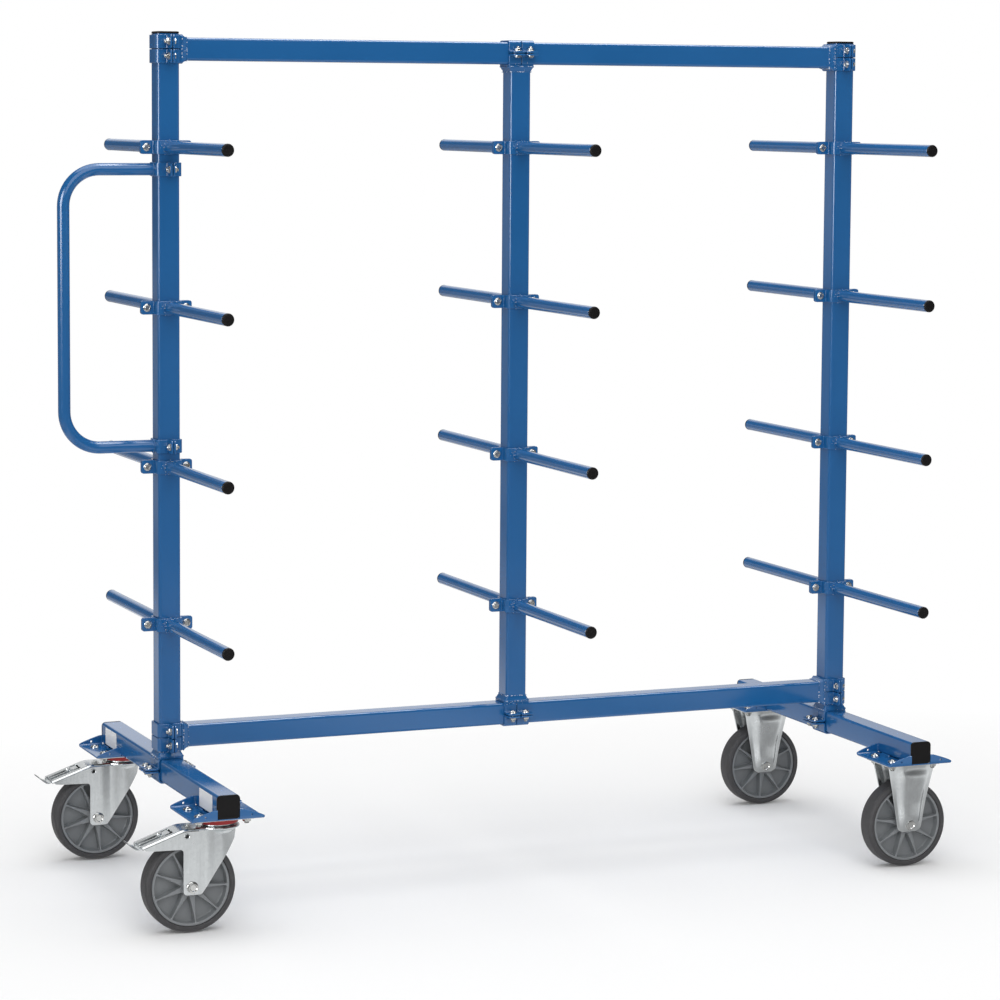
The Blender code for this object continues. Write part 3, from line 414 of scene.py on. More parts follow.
class Finishes(Enum):
    """Every finish on the cart."""

    BLUE = Finish("blue_powder_coat_finish", Slot.BLUE, (0.0105, 0.106, 0.298), (0.10, 0.15), (0.04, 5.0),
                  (1100.0, 0.014), ((0.08, 0.24, 0.47), 0.35, 0.0009), 0.02, (("Specular IOR Level", 0.72),))
    # Pale weld colour is a painted glint on the spatter, with a painted highlight at the drops' edges
    WELD = Finish("weld_spatter_painted_glint", Slot.BLUE, (0.60, 0.68, 0.80), (0.10, 0.20), (0.35, 420.0),
                  (900.0, 0.10), ((0.78, 0.84, 0.92), 0.6, 0.0006))
    ZINC = ZincFinish("zinc_plate_finish", Slot.ZINC, (0.62, 0.645, 0.655), (0.20, 0.28), (0.04, 14.0),
                      (380.0, 0.03), ((0.95, 0.96, 0.97), 0.90, 0.0010), 0.0, (("Metallic", 1.0),))
    BOLT = ZincFinish("zinc_bolt_finish", Slot.ZINC, (0.58, 0.585, 0.575), (0.13, 0.22), (0.10, 90.0),
                      (900.0, 0.05), ((0.95, 0.94, 0.90), 0.5, 0.0004), 0.0, (("Metallic", 1.0),))
    BLACK = Finish("black_cap_finish", Slot.BLACK, (0.0058, 0.0052, 0.0056), (0.38, 0.50), (0.20, 20.0),
                   (900.0, 0.22), ((0.030, 0.030, 0.031), 0.5, 0.0007), 0.015, (("Specular IOR Level", 0.22),))
    RIM = Finish("grey_rim_finish", Slot.RIM, (0.205, 0.217, 0.227), (0.34, 0.46), (0.05, 25.0),
                 (1100.0, 0.16), ((0.40, 0.41, 0.42), 0.6, 0.0011), 0.03)
    TYRE = TyreFinish("dark_tyre_finish", Slot.TYRE, (0.030, 0.029, 0.032), (0.50, 0.62), (0.10, 18.0),
                      (700.0, 0.22), None, 0.03, (("Specular IOR Level", 0.28),))
    SEAL = Finish("red_seal_finish", Slot.SEAL, (0.33, 0.007, 0.008), (0.34, 0.46), (0.08, 30.0),
                  (800.0, 0.1), ((0.55, 0.03, 0.03), 0.4, 0.0006))
    LABEL = Finish("blank_label_finish", None, (0.93, 0.935, 0.93), (0.30, 0.38), (0.02, 30.0),
                   (300.0, 0.03), ((0.55, 0.56, 0.57), 0.5, 0.0008))


# ---------------------------------------------------------------- places and outlines


def frame_at(origin: Vector, x_axis: Vector, y_axis: Vector) -> Matrix:
    """Return the matrix of a frame with its origin and its first two axes given."""
    return Matrix.Translation(origin) @ Matrix((x_axis, y_axis, x_axis.cross(y_axis))).transposed().to_4x4()


def shift(x: float = 0.0, y: float = 0.0, z: float = 0.0) -> Matrix:
    """Return the matrix of a shift."""
    return Matrix.Translation((x, y, z))


def rotation(angle: float, axis: str = "Z") -> Matrix:
    """Return the matrix of a turn about an axis, in radians."""
    return Matrix.Rotation(angle, 4, axis)


def laid(place: Matrix, outline: Points, height: float) -> list[Vector]:
    """Return an outline laid on a frame, at a height along its Z axis."""
    return [place @ Vector((u, v, height)) for u, v in outline]


def moved(points: Points, u: float = 0.0, v: float = 0.0) -> list[tuple[float, float]]:
    """Return points moved by u and v."""
    return [(point_u + u, point_v + v) for point_u, point_v in points]


def unit(value: float) -> float:
    """Return a value kept between 0 and 1."""
    return min(max(value, 0.0), 1.0)


def smooth(value: float) -> float:
    """Return a value kept between 0 and 1 and eased at both ends."""
    return unit(value) ** 2 * (3 - 2 * unit(value))


def circle(radius: float, steps: int) -> list[tuple[float, float]]:
    """Return the points of a circle."""
    return [(radius * math.cos(math.tau * i / steps), radius * math.sin(math.tau * i / steps))
            for i in range(steps)]


def rounded(corners: Sequence[tuple], steps: int = 6) -> list[tuple[float, float]]:
    """Round the corners of an outline.

    Args:
        corners: x, y and, where the corner is round, its radius.
        steps: Segments of each rounding.

    Returns:
        The outline's points.
    """
    points: list[tuple[float, float]] = []
    for index, corner in enumerate(corners):
        here = Vector(corner[:2])
        if len(corner) < 3:
            points.append(tuple(here))
            continue
        back = (Vector(corners[index - 1][:2]) - here).normalized()
        ahead = (Vector(corners[(index + 1) % len(corners)][:2]) - here).normalized()
        half = back.angle(ahead) / 2
        centre = here + (back + ahead).normalized() * (corner[2] / math.sin(half))
        first = here + back * (corner[2] / math.tan(half)) - centre
        side = 1 if back.x * ahead.y - back.y * ahead.x < 0 else -1
        for step in range(steps + 1):
            angle = side * (math.pi - 2 * half) * step / steps
            points.append((centre.x + first.x * math.cos(angle) - first.y * math.sin(angle),
                           centre.y + first.x * math.sin(angle) + first.y * math.cos(angle)))
    return points


def oblong(half_u: float, half_v: float, radius: float, steps: int = 5) -> list[tuple[float, float]]:
    """Return a rectangle's outline with rounded corners."""
    return rounded([(half_u, half_v, radius), (-half_u, half_v, radius), (-half_u, -half_v, radius),
                    (half_u, -half_v, radius)], steps)


# ---------------------------------------------------------------- meshes


@contextmanager
def editing(mesh: Mesh) -> Iterator[bmesh.types.BMesh]:
    """Open a mesh for editing, and write it back after.

    Args:
        mesh: The mesh.

    Yields:
        The mesh as a BMesh.
    """
    working = bmesh.new()
    working.from_mesh(mesh)
    yield working
    working.to_mesh(mesh)
    working.free()


def linked(data: bpy.types.ID, name: str = "working") -> bpy.types.Object:
    """Link data to the scene as an object.

    Args:
        data: A mesh, curve, camera or light.
        name: The object's name.

    Returns:
        The object.
    """
    obj = bpy.data.objects.new(name, data)
    bpy.context.scene.collection.objects.link(obj)
    return obj


def applied(obj: bpy.types.Object) -> Mesh:
    """Apply an object's modifiers and drop the object.

    Args:
        obj: The object.

    Returns:
        Its mesh.
    """
    graph = bpy.context.evaluated_depsgraph_get()
    graph.update()
    mesh = bpy.data.meshes.new_from_object(obj.evaluated_get(graph), depsgraph=graph)
    bpy.data.objects.remove(obj, do_unlink=True)
    return mesh


def modified(mesh: Mesh, *modifiers: tuple[str, dict]) -> Mesh:
    """Apply modifiers to a mesh.

    Args:
        mesh: The mesh.
        modifiers: Each modifier's type and settings.

    Returns:
        The new mesh.
    """
    obj = linked(mesh)
    for kind, settings in modifiers:
        modifier = obj.modifiers.new(kind, kind)
        for name, value in settings.items():
            setattr(modifier, name, value)
    return applied(obj)


def bevel(width: float, angle: float = 0.6) -> tuple[str, dict]:
    """Return the modifier that rounds edges sharper than an angle."""
    return "BEVEL", {"width": width, "segments": 2, "limit_method": "ANGLE", "angle_limit": angle}


@dataclass
class Solid:
    """The mesh of a piece while it is built.

    Attributes:
        verts: Its points.
        faces: Its faces as point numbers.
        slots: The number of each face's finish.
    """

    verts: list[Vector] = field(default_factory=list)
    faces: list[tuple[int, ...]] = field(default_factory=list)
    slots: list[int] = field(default_factory=list)

    def loft(self, rings: Sequence[Sequence[Vector]], loop: bool = False, slot: int = 0) -> Solid:
        """Skin a row of closed rings of equal length.

        Args:
            rings: The rings in order.
            loop: True where the last ring joins the first; otherwise both ends are closed.
            slot: The number of the faces' finish.

        Returns:
            This solid.
        """
        base, count = len(self.verts), len(rings[0])
        for ring in rings:
            self.verts.extend(Vector(point) for point in ring)
        for row in range(len(rings) if loop else len(rings) - 1):
            low, high = base + row * count, base + (row + 1) % len(rings) * count
            for index in range(count):
                after = (index + 1) % count
                self.faces.append((low + index, low + after, high + after, high + index))
        if not loop:
            last = base + (len(rings) - 1) * count
            self.faces += [tuple(range(base + count - 1, base - 1, -1)), tuple(range(last, last + count))]
        self.slots.extend([slot] * (len(self.faces) - len(self.slots)))
        return self

    def turn(self, profile: Points, place: Matrix, steps: int = 48, slot: int = 0, loop: bool = True) -> Solid:
        """Turn a profile of radius and height about the Z axis of a frame."""
        rings = [laid(place, circle(radius, steps), height) for radius, height in profile]
        return self.loft(rings, loop, slot)

    def prism(self, outline: Points, low: float, high: float, place: Matrix, edge: float = 0.0) -> Solid:
        """Extrude an outline along the Z axis of a frame.

        Args:
            outline: The outline.
            low: Where it starts along Z.
            high: Where it ends.
            place: The frame.
            edge: How far its rims are drawn in.

        Returns:
            This solid.
        """
        centre = sum((Vector(p) for p in outline), Vector((0, 0))) / len(outline)
        reach, soft = max((Vector(p) - centre).length for p in outline), edge * 0.3
        levels = [(low, edge), (low + soft, soft), (low + edge, 0), (high - edge, 0), (high - soft, soft),
                  (high, edge)] if edge else [(low, 0), (high, 0)]
        return self.loft([laid(place, [centre + (Vector(p) - centre) * (1 - inset / reach) for p in outline],
                               height) for height, inset in levels])

    def sweep(self, path: Points, section: Callable[[Vector, bool], Points], place: Matrix) -> Solid:
        """Draw a section along a path on the XY plane of a frame.

        Args:
            path: The path's points.
            section: Gives the outline at a point, told whether the path ends there; its u lies across the
                path on the plane, its v along the frame's Z.
            place: The frame.

        Returns:
            This solid.
        """
        rings, last = [], len(path) - 1
        for index, point in enumerate(path):
            along = (Vector(path[min(index + 1, last)]) - Vector(path[max(index - 1, 0)])).normalized()
            rings.append([place @ Vector((point[0] - along.y * u, point[1] + along.x * u, v))
                          for u, v in section(Vector(point), index in (0, last))])
        return self.loft(rings)

    def add(self, other: Solid | Mesh, place: Matrix | None = None, slot: int = 0) -> Solid:
        """Add a copy of a solid, or a mesh, which is dropped.

        Args:
            other: The solid or mesh.
            place: Where it goes.
            slot: The number of a mesh's finish.

        Returns:
            This solid.
        """
        base = len(self.verts)
        if isinstance(other, Solid):
            points, faces, slots = other.verts, other.faces, other.slots
        else:
            points = [v.co.copy() for v in other.vertices]
            faces = [face.vertices[:] for face in other.polygons]
            slots = [slot] * len(faces)
            bpy.data.meshes.remove(other)
        self.verts.extend(place @ v if place else v.copy() for v in points)
        self.faces.extend(tuple(base + index for index in face) for face in faces)
        self.slots.extend(slots)
        return self

    def mesh(self) -> Mesh:
        """Make the solid a mesh whose faces look outward.

        Returns:
            The mesh.
        """
        mesh = bpy.data.meshes.new("shape")
        mesh.from_pydata([tuple(v) for v in self.verts], [], self.faces)
        mesh.polygons.foreach_set("material_index", self.slots)
        with editing(mesh) as working:
            bmesh.ops.recalc_face_normals(working, faces=working.faces)
        return mesh

    def carved(self, *cutters: Solid) -> Mesh:
        """Take cutters out of the solid.

        Args:
            cutters: What is taken out.

        Returns:
            What is left, as a mesh.
        """
        tools = [linked(cutter.mesh()) for cutter in cutters]
        cut = {"operation": "DIFFERENCE", "solver": "EXACT"}
        result = modified(self.mesh(), *(("BOOLEAN", {**cut, "object": tool}) for tool in tools))
        for tool in tools:
            bpy.data.objects.remove(tool, do_unlink=True)
        return result


def plate(outlines: Sequence[Points], thickness: float, place: Matrix) -> Mesh:
    """Make a flat plate, centred on the XY plane of a frame.

    Args:
        outlines: Its outline and its holes.
        thickness: Its thickness.
        place: The frame.

    Returns:
        The plate's mesh.
    """
    curve = bpy.data.curves.new("outline", "CURVE")
    curve.dimensions, curve.fill_mode, curve.extrude = "2D", "BOTH", thickness / 2
    for outline in outlines:
        spline = curve.splines.new("POLY")
        spline.points.add(len(outline) - 1)
        for point, (x, y) in zip(spline.points, outline):
            point.co = (x, y, 0, 1)
        spline.use_cyclic_u = True
    mesh = applied(linked(curve))
    mesh.transform(place)
    with editing(mesh) as working:
        bmesh.ops.remove_doubles(working, verts=working.verts, dist=0.00002)
        bmesh.ops.dissolve_limit(working, angle_limit=0.001, verts=working.verts, edges=working.edges)
    return mesh


@dataclass
class Piece:
    """One finished piece of the cart.

    Attributes:
        name: The piece's name.
        body: The CAD body that carries it.
        finishes: Its finishes, by slot number.
        nodes: The CAD nodes that it stands for.
    """

    name: str
    body: str
    finishes: Sequence[Finishes]
    nodes: Sequence[str] = ()

    @classmethod
    def of(cls, node: str, ending: str, *finishes: Finishes, body: str = "frame") -> Piece:
        """Return the piece that stands for one CAD node."""
        return cls(f"{node}_{ending}", body, finishes, (node,))

    @property
    def slot(self) -> Slot | None:
        """The record's material slot, from the first finish."""
        return self.finishes[0].value.slot

    def make(self, shape: Solid | Mesh) -> None:
        """Dress a shape as this piece and hang it on its body.

        Args:
            shape: The piece's solid or mesh, in its place on the cart.
        """
        mesh = shape.mesh() if isinstance(shape, Solid) else shape
        slots = [face.material_index for face in mesh.polygons]
        mesh.materials.clear()
        for finish in self.finishes:
            mesh.materials.append(finish.value.material())
        mesh.polygons.foreach_set("material_index", slots)
        mesh.shade_smooth()
        mesh.set_sharp_from_angle(angle=SHARP)
        mesh = modified(mesh, ("WEIGHTED_NORMAL", {"keep_sharp": True}))
        mesh.name = self.name
        obj = linked(mesh, self.name)
        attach(obj, self.body)
        if self.nodes:
            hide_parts(*self.nodes)
        if self.slot:
            self.slot.value
        LOG.info("%s: %d faces on %s", self.name, len(mesh.polygons), self.body)


# ---------------------------------------------------------------- repeated shapes


class Scatter:
    """Sets one shape on many places through a Geometry Nodes tree and keeps the result as a plain mesh."""

    def __init__(self) -> None:
        """Build the tree: points, instances turned and sized by attributes, realized, with a finish."""
        self.tree = bpy.data.node_groups.new("scatter_shape", "GeometryNodeTree")
        self.keys = {name: self.tree.interface.new_socket(name, in_out="INPUT", socket_type=kind).identifier
                     for name, kind in (("Geometry", "NodeSocketGeometry"), ("Shape", "NodeSocketObject"),
                                        ("Finish", "NodeSocketMaterial"))}
        self.tree.interface.new_socket("Geometry", in_out="OUTPUT", socket_type="NodeSocketGeometry")
        graph = Graph(self.tree)
        entry = graph.node("NodeGroupInput").outputs
        shape = graph.node("GeometryNodeObjectInfo", {"Object": entry["Shape"]}).outputs["Geometry"]
        turn, size = (graph.node("GeometryNodeInputNamedAttribute", {"Name": name},
                                 data_type="FLOAT_VECTOR").outputs[0] for name in ("turn", "size"))
        turned = graph.node("FunctionNodeEulerToRotation", {0: turn}).outputs[0]
        spread = graph.node("GeometryNodeInstanceOnPoints", {
            "Points": entry["Geometry"], "Instance": shape, "Rotation": turned, "Scale": size})
        solid = graph.node("GeometryNodeRealizeInstances", {0: spread.outputs[0]})
        dressed = graph.node("GeometryNodeSetMaterial", {"Geometry": solid.outputs[0],
                                                         "Material": entry["Finish"]})
        graph.node("NodeGroupOutput", {0: dressed.outputs[0]})

    def spread(self, shape: Mesh, places: Sequence[Matrix], piece: Piece) -> None:
        """Put a shape on every place and make one piece of it.

        Args:
            shape: The mesh to repeat.
            places: Matrices of the places, with their turn and scale.
            piece: The piece that it becomes.
        """
        cloud = bpy.data.meshes.new(f"{piece.name}_places")
        cloud.from_pydata([tuple(place.to_translation()) for place in places], [], [])
        for name, values in (("turn", [place.to_euler() for place in places]),
                             ("size", [place.to_scale() for place in places])):
            layer = cloud.attributes.new(name, "FLOAT_VECTOR", "POINT")
            layer.data.foreach_set("vector", [number for value in values for number in value])
        source, obj = linked(shape), linked(cloud)
        modifier = obj.modifiers.new("scatter", "NODES")
        modifier.node_group = self.tree
        modifier[self.keys["Shape"]] = source
        modifier[self.keys["Finish"]] = piece.finishes[0].value.material()
        mesh = applied(obj)
        bpy.data.objects.remove(source, do_unlink=True)
        piece.make(mesh)


@dataclass(frozen=True)
class HexBolt:
    """A flange bolt through a grip, its nut and its thread end, along Z with the head at +Z.

    Attributes:
        grip: Length between head and nut.
        thread: Radius of the thread.
        across: Half the width across the flats of head and nut.
        flange: Radius of the flanges.
        height: Height of the nut.
        head: Height of the head.
        tail: How far the thread stands out of the nut.
        pitch: Length of one thread turn.
        crest: Half the depth of the thread.
    """

    grip: float
    thread: float = 0.004
    across: float = 0.0063
    flange: float = 0.0088
    height: float = 0.0062
    head: float = 0.0050
    tail: float = 0.0045
    pitch: float = 0.001
    crest: float = 0.0003

    def _hex(self, solid: Solid, way: int) -> None:
        """Add the head or the nut: a chamfered hexagon on a flange.

        Args:
            solid: The bolt's solid.
            way: 1 for the head, -1 for the nut.
        """
        steps = 36
        rise, dip = (self.head, 0.0016) if way > 0 else (self.height, 0.0004)
        rings = [(height, [radius] * steps) for height, radius in (
            (0.0, self.flange), (0.0011, self.flange), (0.0019, self.flange - 0.0009))]
        for height, cone in ((0.0021, 1.16), (rise - 0.0014, 1.16), (rise - 0.0005, 1.06), (rise, 0.94)):
            angles = [(math.tau * i / steps) % (math.pi / 3) - math.pi / 6 for i in range(steps)]
            rings.append((height, [min(self.across / math.cos(a), self.across * cone) for a in angles]))
        rings += [(rise, [self.across * 0.76] * steps), (rise - dip, [self.across * 0.62] * steps)]
        solid.loft([[Vector((u * radius, v * radius, way * (self.grip / 2 + height)))
                     for (u, v), radius in zip(circle(1.0, steps), ring)] for height, ring in rings])

    def mesh(self) -> Mesh:
        """Make the bolt.

        Returns:
            Its mesh.
        """
        solid, top, core = Solid(), self.grip / 2, 0.0006
        self._hex(solid, 1)
        self._hex(solid, -1)
        length = self.grip + self.height + self.tail
        profile = [(self.thread - self.crest, top)]
        for index in range(int(length / self.pitch) * 2):
            deep = self.crest if index % 2 else -self.crest
            profile.append((self.thread - deep, top - self.pitch / 2 * index))
        profile += [(self.thread - self.crest * 2, top - length), (core, top - length), (core, top)]
        mesh = solid.turn(profile, Matrix.Identity(4), 16).mesh()
        mesh.shade_smooth()
        mesh.set_sharp_from_angle(angle=math.radians(35))
        return mesh


def blob_mesh() -> Mesh:
    """Make the flattened drop that stands for one grain of weld spatter.

    Returns:
        Its mesh, of radius 1.
    """
    mesh = bpy.data.meshes.new("blob")
    with editing(mesh) as working:
        bmesh.ops.create_icosphere(working, subdivisions=2, radius=1.0)
        for vert in working.verts:
            vert.co.z *= 0.6
            vert.co.x *= 1.0 + 0.15 * math.sin(vert.co.y * 3)
    return mesh


def bead(path: Sequence[Vector], radius: float, up: Vector, seed: int, loop: bool = True) -> Solid:
    """Make a painted weld bead: overlapping drops along a path.

    Args:
        path: Corner points of the bead.
        radius: Its mean radius.
        up: A direction that is never along the path.
        seed: Seed of its unevenness.
        loop: True where the path is closed.

    Returns:
        The bead's solid.
    """
    generator = random.Random(seed)
    points: list[Vector] = []
    ends = list(path) + ([path[0]] if loop else [])
    for start, end in zip(ends, ends[1:]):
        count = max(1, round((end - start).length / (radius * 0.75)))
        points += [start.lerp(end, index / count) for index in range(count)]
    if not loop:
        points.append(ends[-1])
    rings, last = [], len(points) - 1
    for index, point in enumerate(points):
        ahead = points[(index + 1) % len(points)] if loop or index < last else point
        behind = points[index - 1] if loop or index else point
        along = (ahead - behind).normalized()
        across = along.cross(up).normalized()
        size = radius * (1 + 0.16 * (index % 2) + generator.uniform(-0.10, 0.10))
        if not loop and index in (0, last):
            size *= 0.45
        rings.append([point + across * u + along.cross(across) * v for u, v in circle(size, 8)])
    return Solid().loft(rings, loop)


def bar_weld(place: Matrix, height: float, up: Vector, seed: int) -> Solid:
    """Return the bead round the end of a bar, at a height along the Z axis of a frame."""
    return bead(laid(place, circle(BAR_RADIUS + BEAD_OUT, 40), height), BEAD, up, seed)


class Clamp:
    """The pressed half clamp and the joints made of it."""

    curl = 0.0055
    flare_rows = ((-0.004, 0.0, 0.003), (0.0010, 0.0, 0.003), (0.0024, 0.10, 0.004),
                  (FLARE - 0.0020, 0.90, 0.005), (FLARE, 0.985, 0.005), (FLARE + 0.002, 1.0, 0.005))
    # Spatter drops per joint, the first ones larger and in two rows along the seams; all carry the pale
    # painted glint
    drops, seam_drops = 120, 84

    def __init__(self) -> None:
        """Build the half clamp that grips the -Y half of a tube along Z, ears at -X and +X."""
        middle, ear_y = (GRIP_INNER + GRIP_OUTER) / 2, -EAR_GAP - STRAP / 2
        path = rounded([(-EAR_TIP, ear_y), (-middle, ear_y, 0.0042), (-middle, -middle, 0.0070),
                        (middle, -middle, 0.0070), (middle, ear_y, 0.0042), (EAR_TIP, ear_y)], 5)
        tips = [EAR_TIP - self.curl * share for share in (0.0, 0.08, 0.28, 0.60, 1.0)]
        path = [(-tip, ear_y) for tip in tips] + path[1:-1] + [(tip, ear_y) for tip in reversed(tips)]
        self.half = Solid().sweep(path, self._section, Matrix.Identity(4))
        self.bolt = HexBolt((EAR_GAP + STRAP) * 2)

    def _section(self, here: Vector, tip: bool) -> Points:
        """Return the strap's section, lower where the ears are rounded.

        Args:
            here: The point on the strap's path.
            tip: True at the ears' tips.

        Returns:
            The section's outline.
        """
        cut = max(self.curl - EAR_TIP + abs(here.x), 0)
        lost = self.curl - math.sqrt(max(self.curl ** 2 - cut ** 2, 0))
        return oblong(STRAP / 2 - (0.0007 if tip else 0.0), STRAP_HEIGHT / 2 - lost, 0.0011, 3)

    @staticmethod
    def bolt_places(place: Matrix, angle: float, step: float) -> list[Matrix]:
        """Return the places of the bolts through a clamp's two ears, turned by angle less and more step."""
        return [place @ shift(side * BOLT_PLACE) @ FORWARD @ rotation(angle + side * step) for side in SIDES]

    def grip(self, solid: Solid, bolts: list[Matrix], centre: Vector, along: Vector, outward: Vector,
             offsets: Sequence[float]) -> None:
        """Add bolted clamps side by side round a tube.

        Args:
            solid: The piece that the clamps belong to.
            bolts: Collects the places of the bolts.
            centre: Where the joint's middle is.
            along: The direction of the gripped tube.
            outward: From the gripped tube towards the welded one.
            offsets: Where the clamps are along the gripped tube.
        """
        base = frame_at(centre, outward.cross(along), -outward)
        for offset in offsets:
            place = base @ shift(z=offset)
            solid.add(self.half, place).add(self.half, place @ TURN_BACK)
            bolts.extend(self.bolt_places(place, 0.35 + offset * 60, 0.4))

    def flare(self, solid: Solid, drops: list[Matrix], centre: Vector, along: Vector, outward: Vector,
              seed: int) -> None:
        """Add the flared, welded transition from a pair of clamps to the end of a tube.

        Args:
            solid: The piece that it belongs to.
            drops: Collects the places of the weld spatter.
            centre: Where the joint's middle is.
            along: The direction of the gripped tube.
            outward: From the gripped tube towards the welded one.
            seed: Seed of the welds.
        """
        place = frame_at(centre, outward.cross(along), along)  # its -Z points outward
        wide_u, wide_v, narrow = GRIP_OUTER - 0.0002, STRAP_HEIGHT + STRAP_SLIT / 2 - 0.0005, HALF + 0.0002
        rows = [(oblong(wide_u + (narrow - wide_u) * share, wide_v + (narrow - wide_v) * share, radius), rise)
                for rise, share, radius in self.flare_rows]
        solid.loft([laid(place, outline, -GRIP_OUTER - rise) for outline, rise in rows])
        low = laid(place, oblong(wide_u, wide_v, 0.004, 2), -GRIP_OUTER - 0.0008)
        high = laid(place, oblong(HALF, HALF, 0.005, 2), -GRIP_OUTER - FLARE - 0.0004)
        solid.add(bead(low, 0.0014, outward, seed)).add(bead(high, 0.0013, outward, seed + 1))
        generator = random.Random(seed + 2)
        for index in range(self.drops):
            on_seam = index < self.seam_drops
            side, flip = generator.choice((0, 1)), generator.choice(SIDES)
            rise = abs(generator.gauss(0, 0.009)) - 0.008
            if on_seam:
                rise = generator.choice((0.0002, FLARE + 0.0004)) + generator.uniform(-0.0006, 0.0006)
            half = flip * (GRIP_OUTER + (HALF - GRIP_OUTER) * unit(rise / FLARE))
            slide = generator.uniform(-0.026, 0.026)
            spot = Vector((*((half, slide) if side else (slide, half)), -GRIP_OUTER - rise))
            size = generator.uniform(*((0.0013, 0.0021) if on_seam else (0.0004, 0.0010)))
            drops.append(Matrix.LocRotScale(place @ spot, place.to_euler(), Vector((size, size, size))))


# ---------------------------------------------------------------- sub-assemblies


@dataclass
class TubeFrame:
    """Posts and beams with their welded clamps, their caps, bolts and weld spatter.

    Attributes:
        clamp: The clamp that every joint is made of.
        bolts: Collects the places of the clamps' bolts.
        drops: Collects the places of the weld spatter.
    """

    clamp: Clamp
    bolts: list[Matrix] = field(default_factory=list)
    drops: list[Matrix] = field(default_factory=list)

    cap_rows = ((-0.012, -0.0040, 0.002), (0.0002, -0.0040, 0.002), (0.0003, -0.0004, 0.0076),
                (0.0010, 0.0006, 0.0088), (0.0032, 0.0006, 0.0088), (0.0043, 0.0, 0.0084),
                (CAP, -0.0018, 0.0070), (CAP, -0.0060, 0.004), (CAP - 0.0005, -0.0068, 0.003))

    @staticmethod
    def tube(solid: Solid, start: Vector, end: Vector) -> None:
        """Add a square tube with rounded corners.

        Args:
            solid: The piece that it belongs to.
            start: The middle of one end.
            end: The middle of the other.
        """
        along = (end - start).normalized()
        side = X if abs(along.x) < 0.5 else Y
        place, outline = frame_at(start, side, along.cross(side)), oblong(HALF, HALF, CORNER, 6)
        solid.loft([laid(place, outline, height) for height in (0.0, (end - start).length)])

    def welded(self, name: str, start: Vector, end: Vector,
               joints: Sequence[tuple[Vector, Vector, Vector]]) -> None:
        """Make one welded tube with clamps and flares at its ends.

        Args:
            name: The CAD node's name.
            start: The middle of one end.
            end: The middle of the other.
            joints: Each joint's centre, its direction outward and the gripped tube's direction.
        """
        solid, step = Solid(), (STRAP_HEIGHT + STRAP_SLIT) / 2
        self.tube(solid, start, end)
        for index, (centre, outward, along) in enumerate(joints):
            self.clamp.grip(solid, self.bolts, centre, along, outward, (-step, step))
            self.clamp.flare(solid, self.drops, centre, along, outward, sum(map(ord, name)) + index * 10)
        Piece.of(name, "steel", Finishes.BLUE).make(solid)

    def cap(self, name: str, place: Matrix) -> None:
        """Make one square cap that closes a tube's end at the XY plane of a frame."""
        Piece.of(name, "plug", Finishes.BLACK).make(Solid().loft([
            laid(place, oblong(HALF + size, HALF + size, radius), height)
            for height, size, radius in self.cap_rows]))

    def build(self) -> None:
        """Make the posts, the beams and the posts' caps."""
        reach = GRIP_OUTER + FLARE * 0.5
        for side in ("left", "right"):
            foot, top = Vector((POSTS[side], 0, BASE_Z)), Vector((POSTS[side], 0, POST_TOP))
            self.welded(f"post_{side}", foot + Z * reach, top, [(foot, Z, Y)])
            self.cap(f"cap_post_{side}", frame_at(top, X, Y))
        foot, top = (Vector((POSTS["middle"], 0, height)) for height in (BOTTOM_Z, TOP_Z))
        self.welded("post_middle", foot + Z * reach, top - Z * reach, [(foot, Z, X), (top, -Z, X)])
        for name, height in (("top_beam", TOP_Z), ("bottom_beam", BOTTOM_Z)):
            left, right = (Vector((POSTS[side], 0, height)) for side in ("left", "right"))
            self.welded(name, left + X * reach, right - X * reach, [(left, X, Z), (right, -X, Z)])


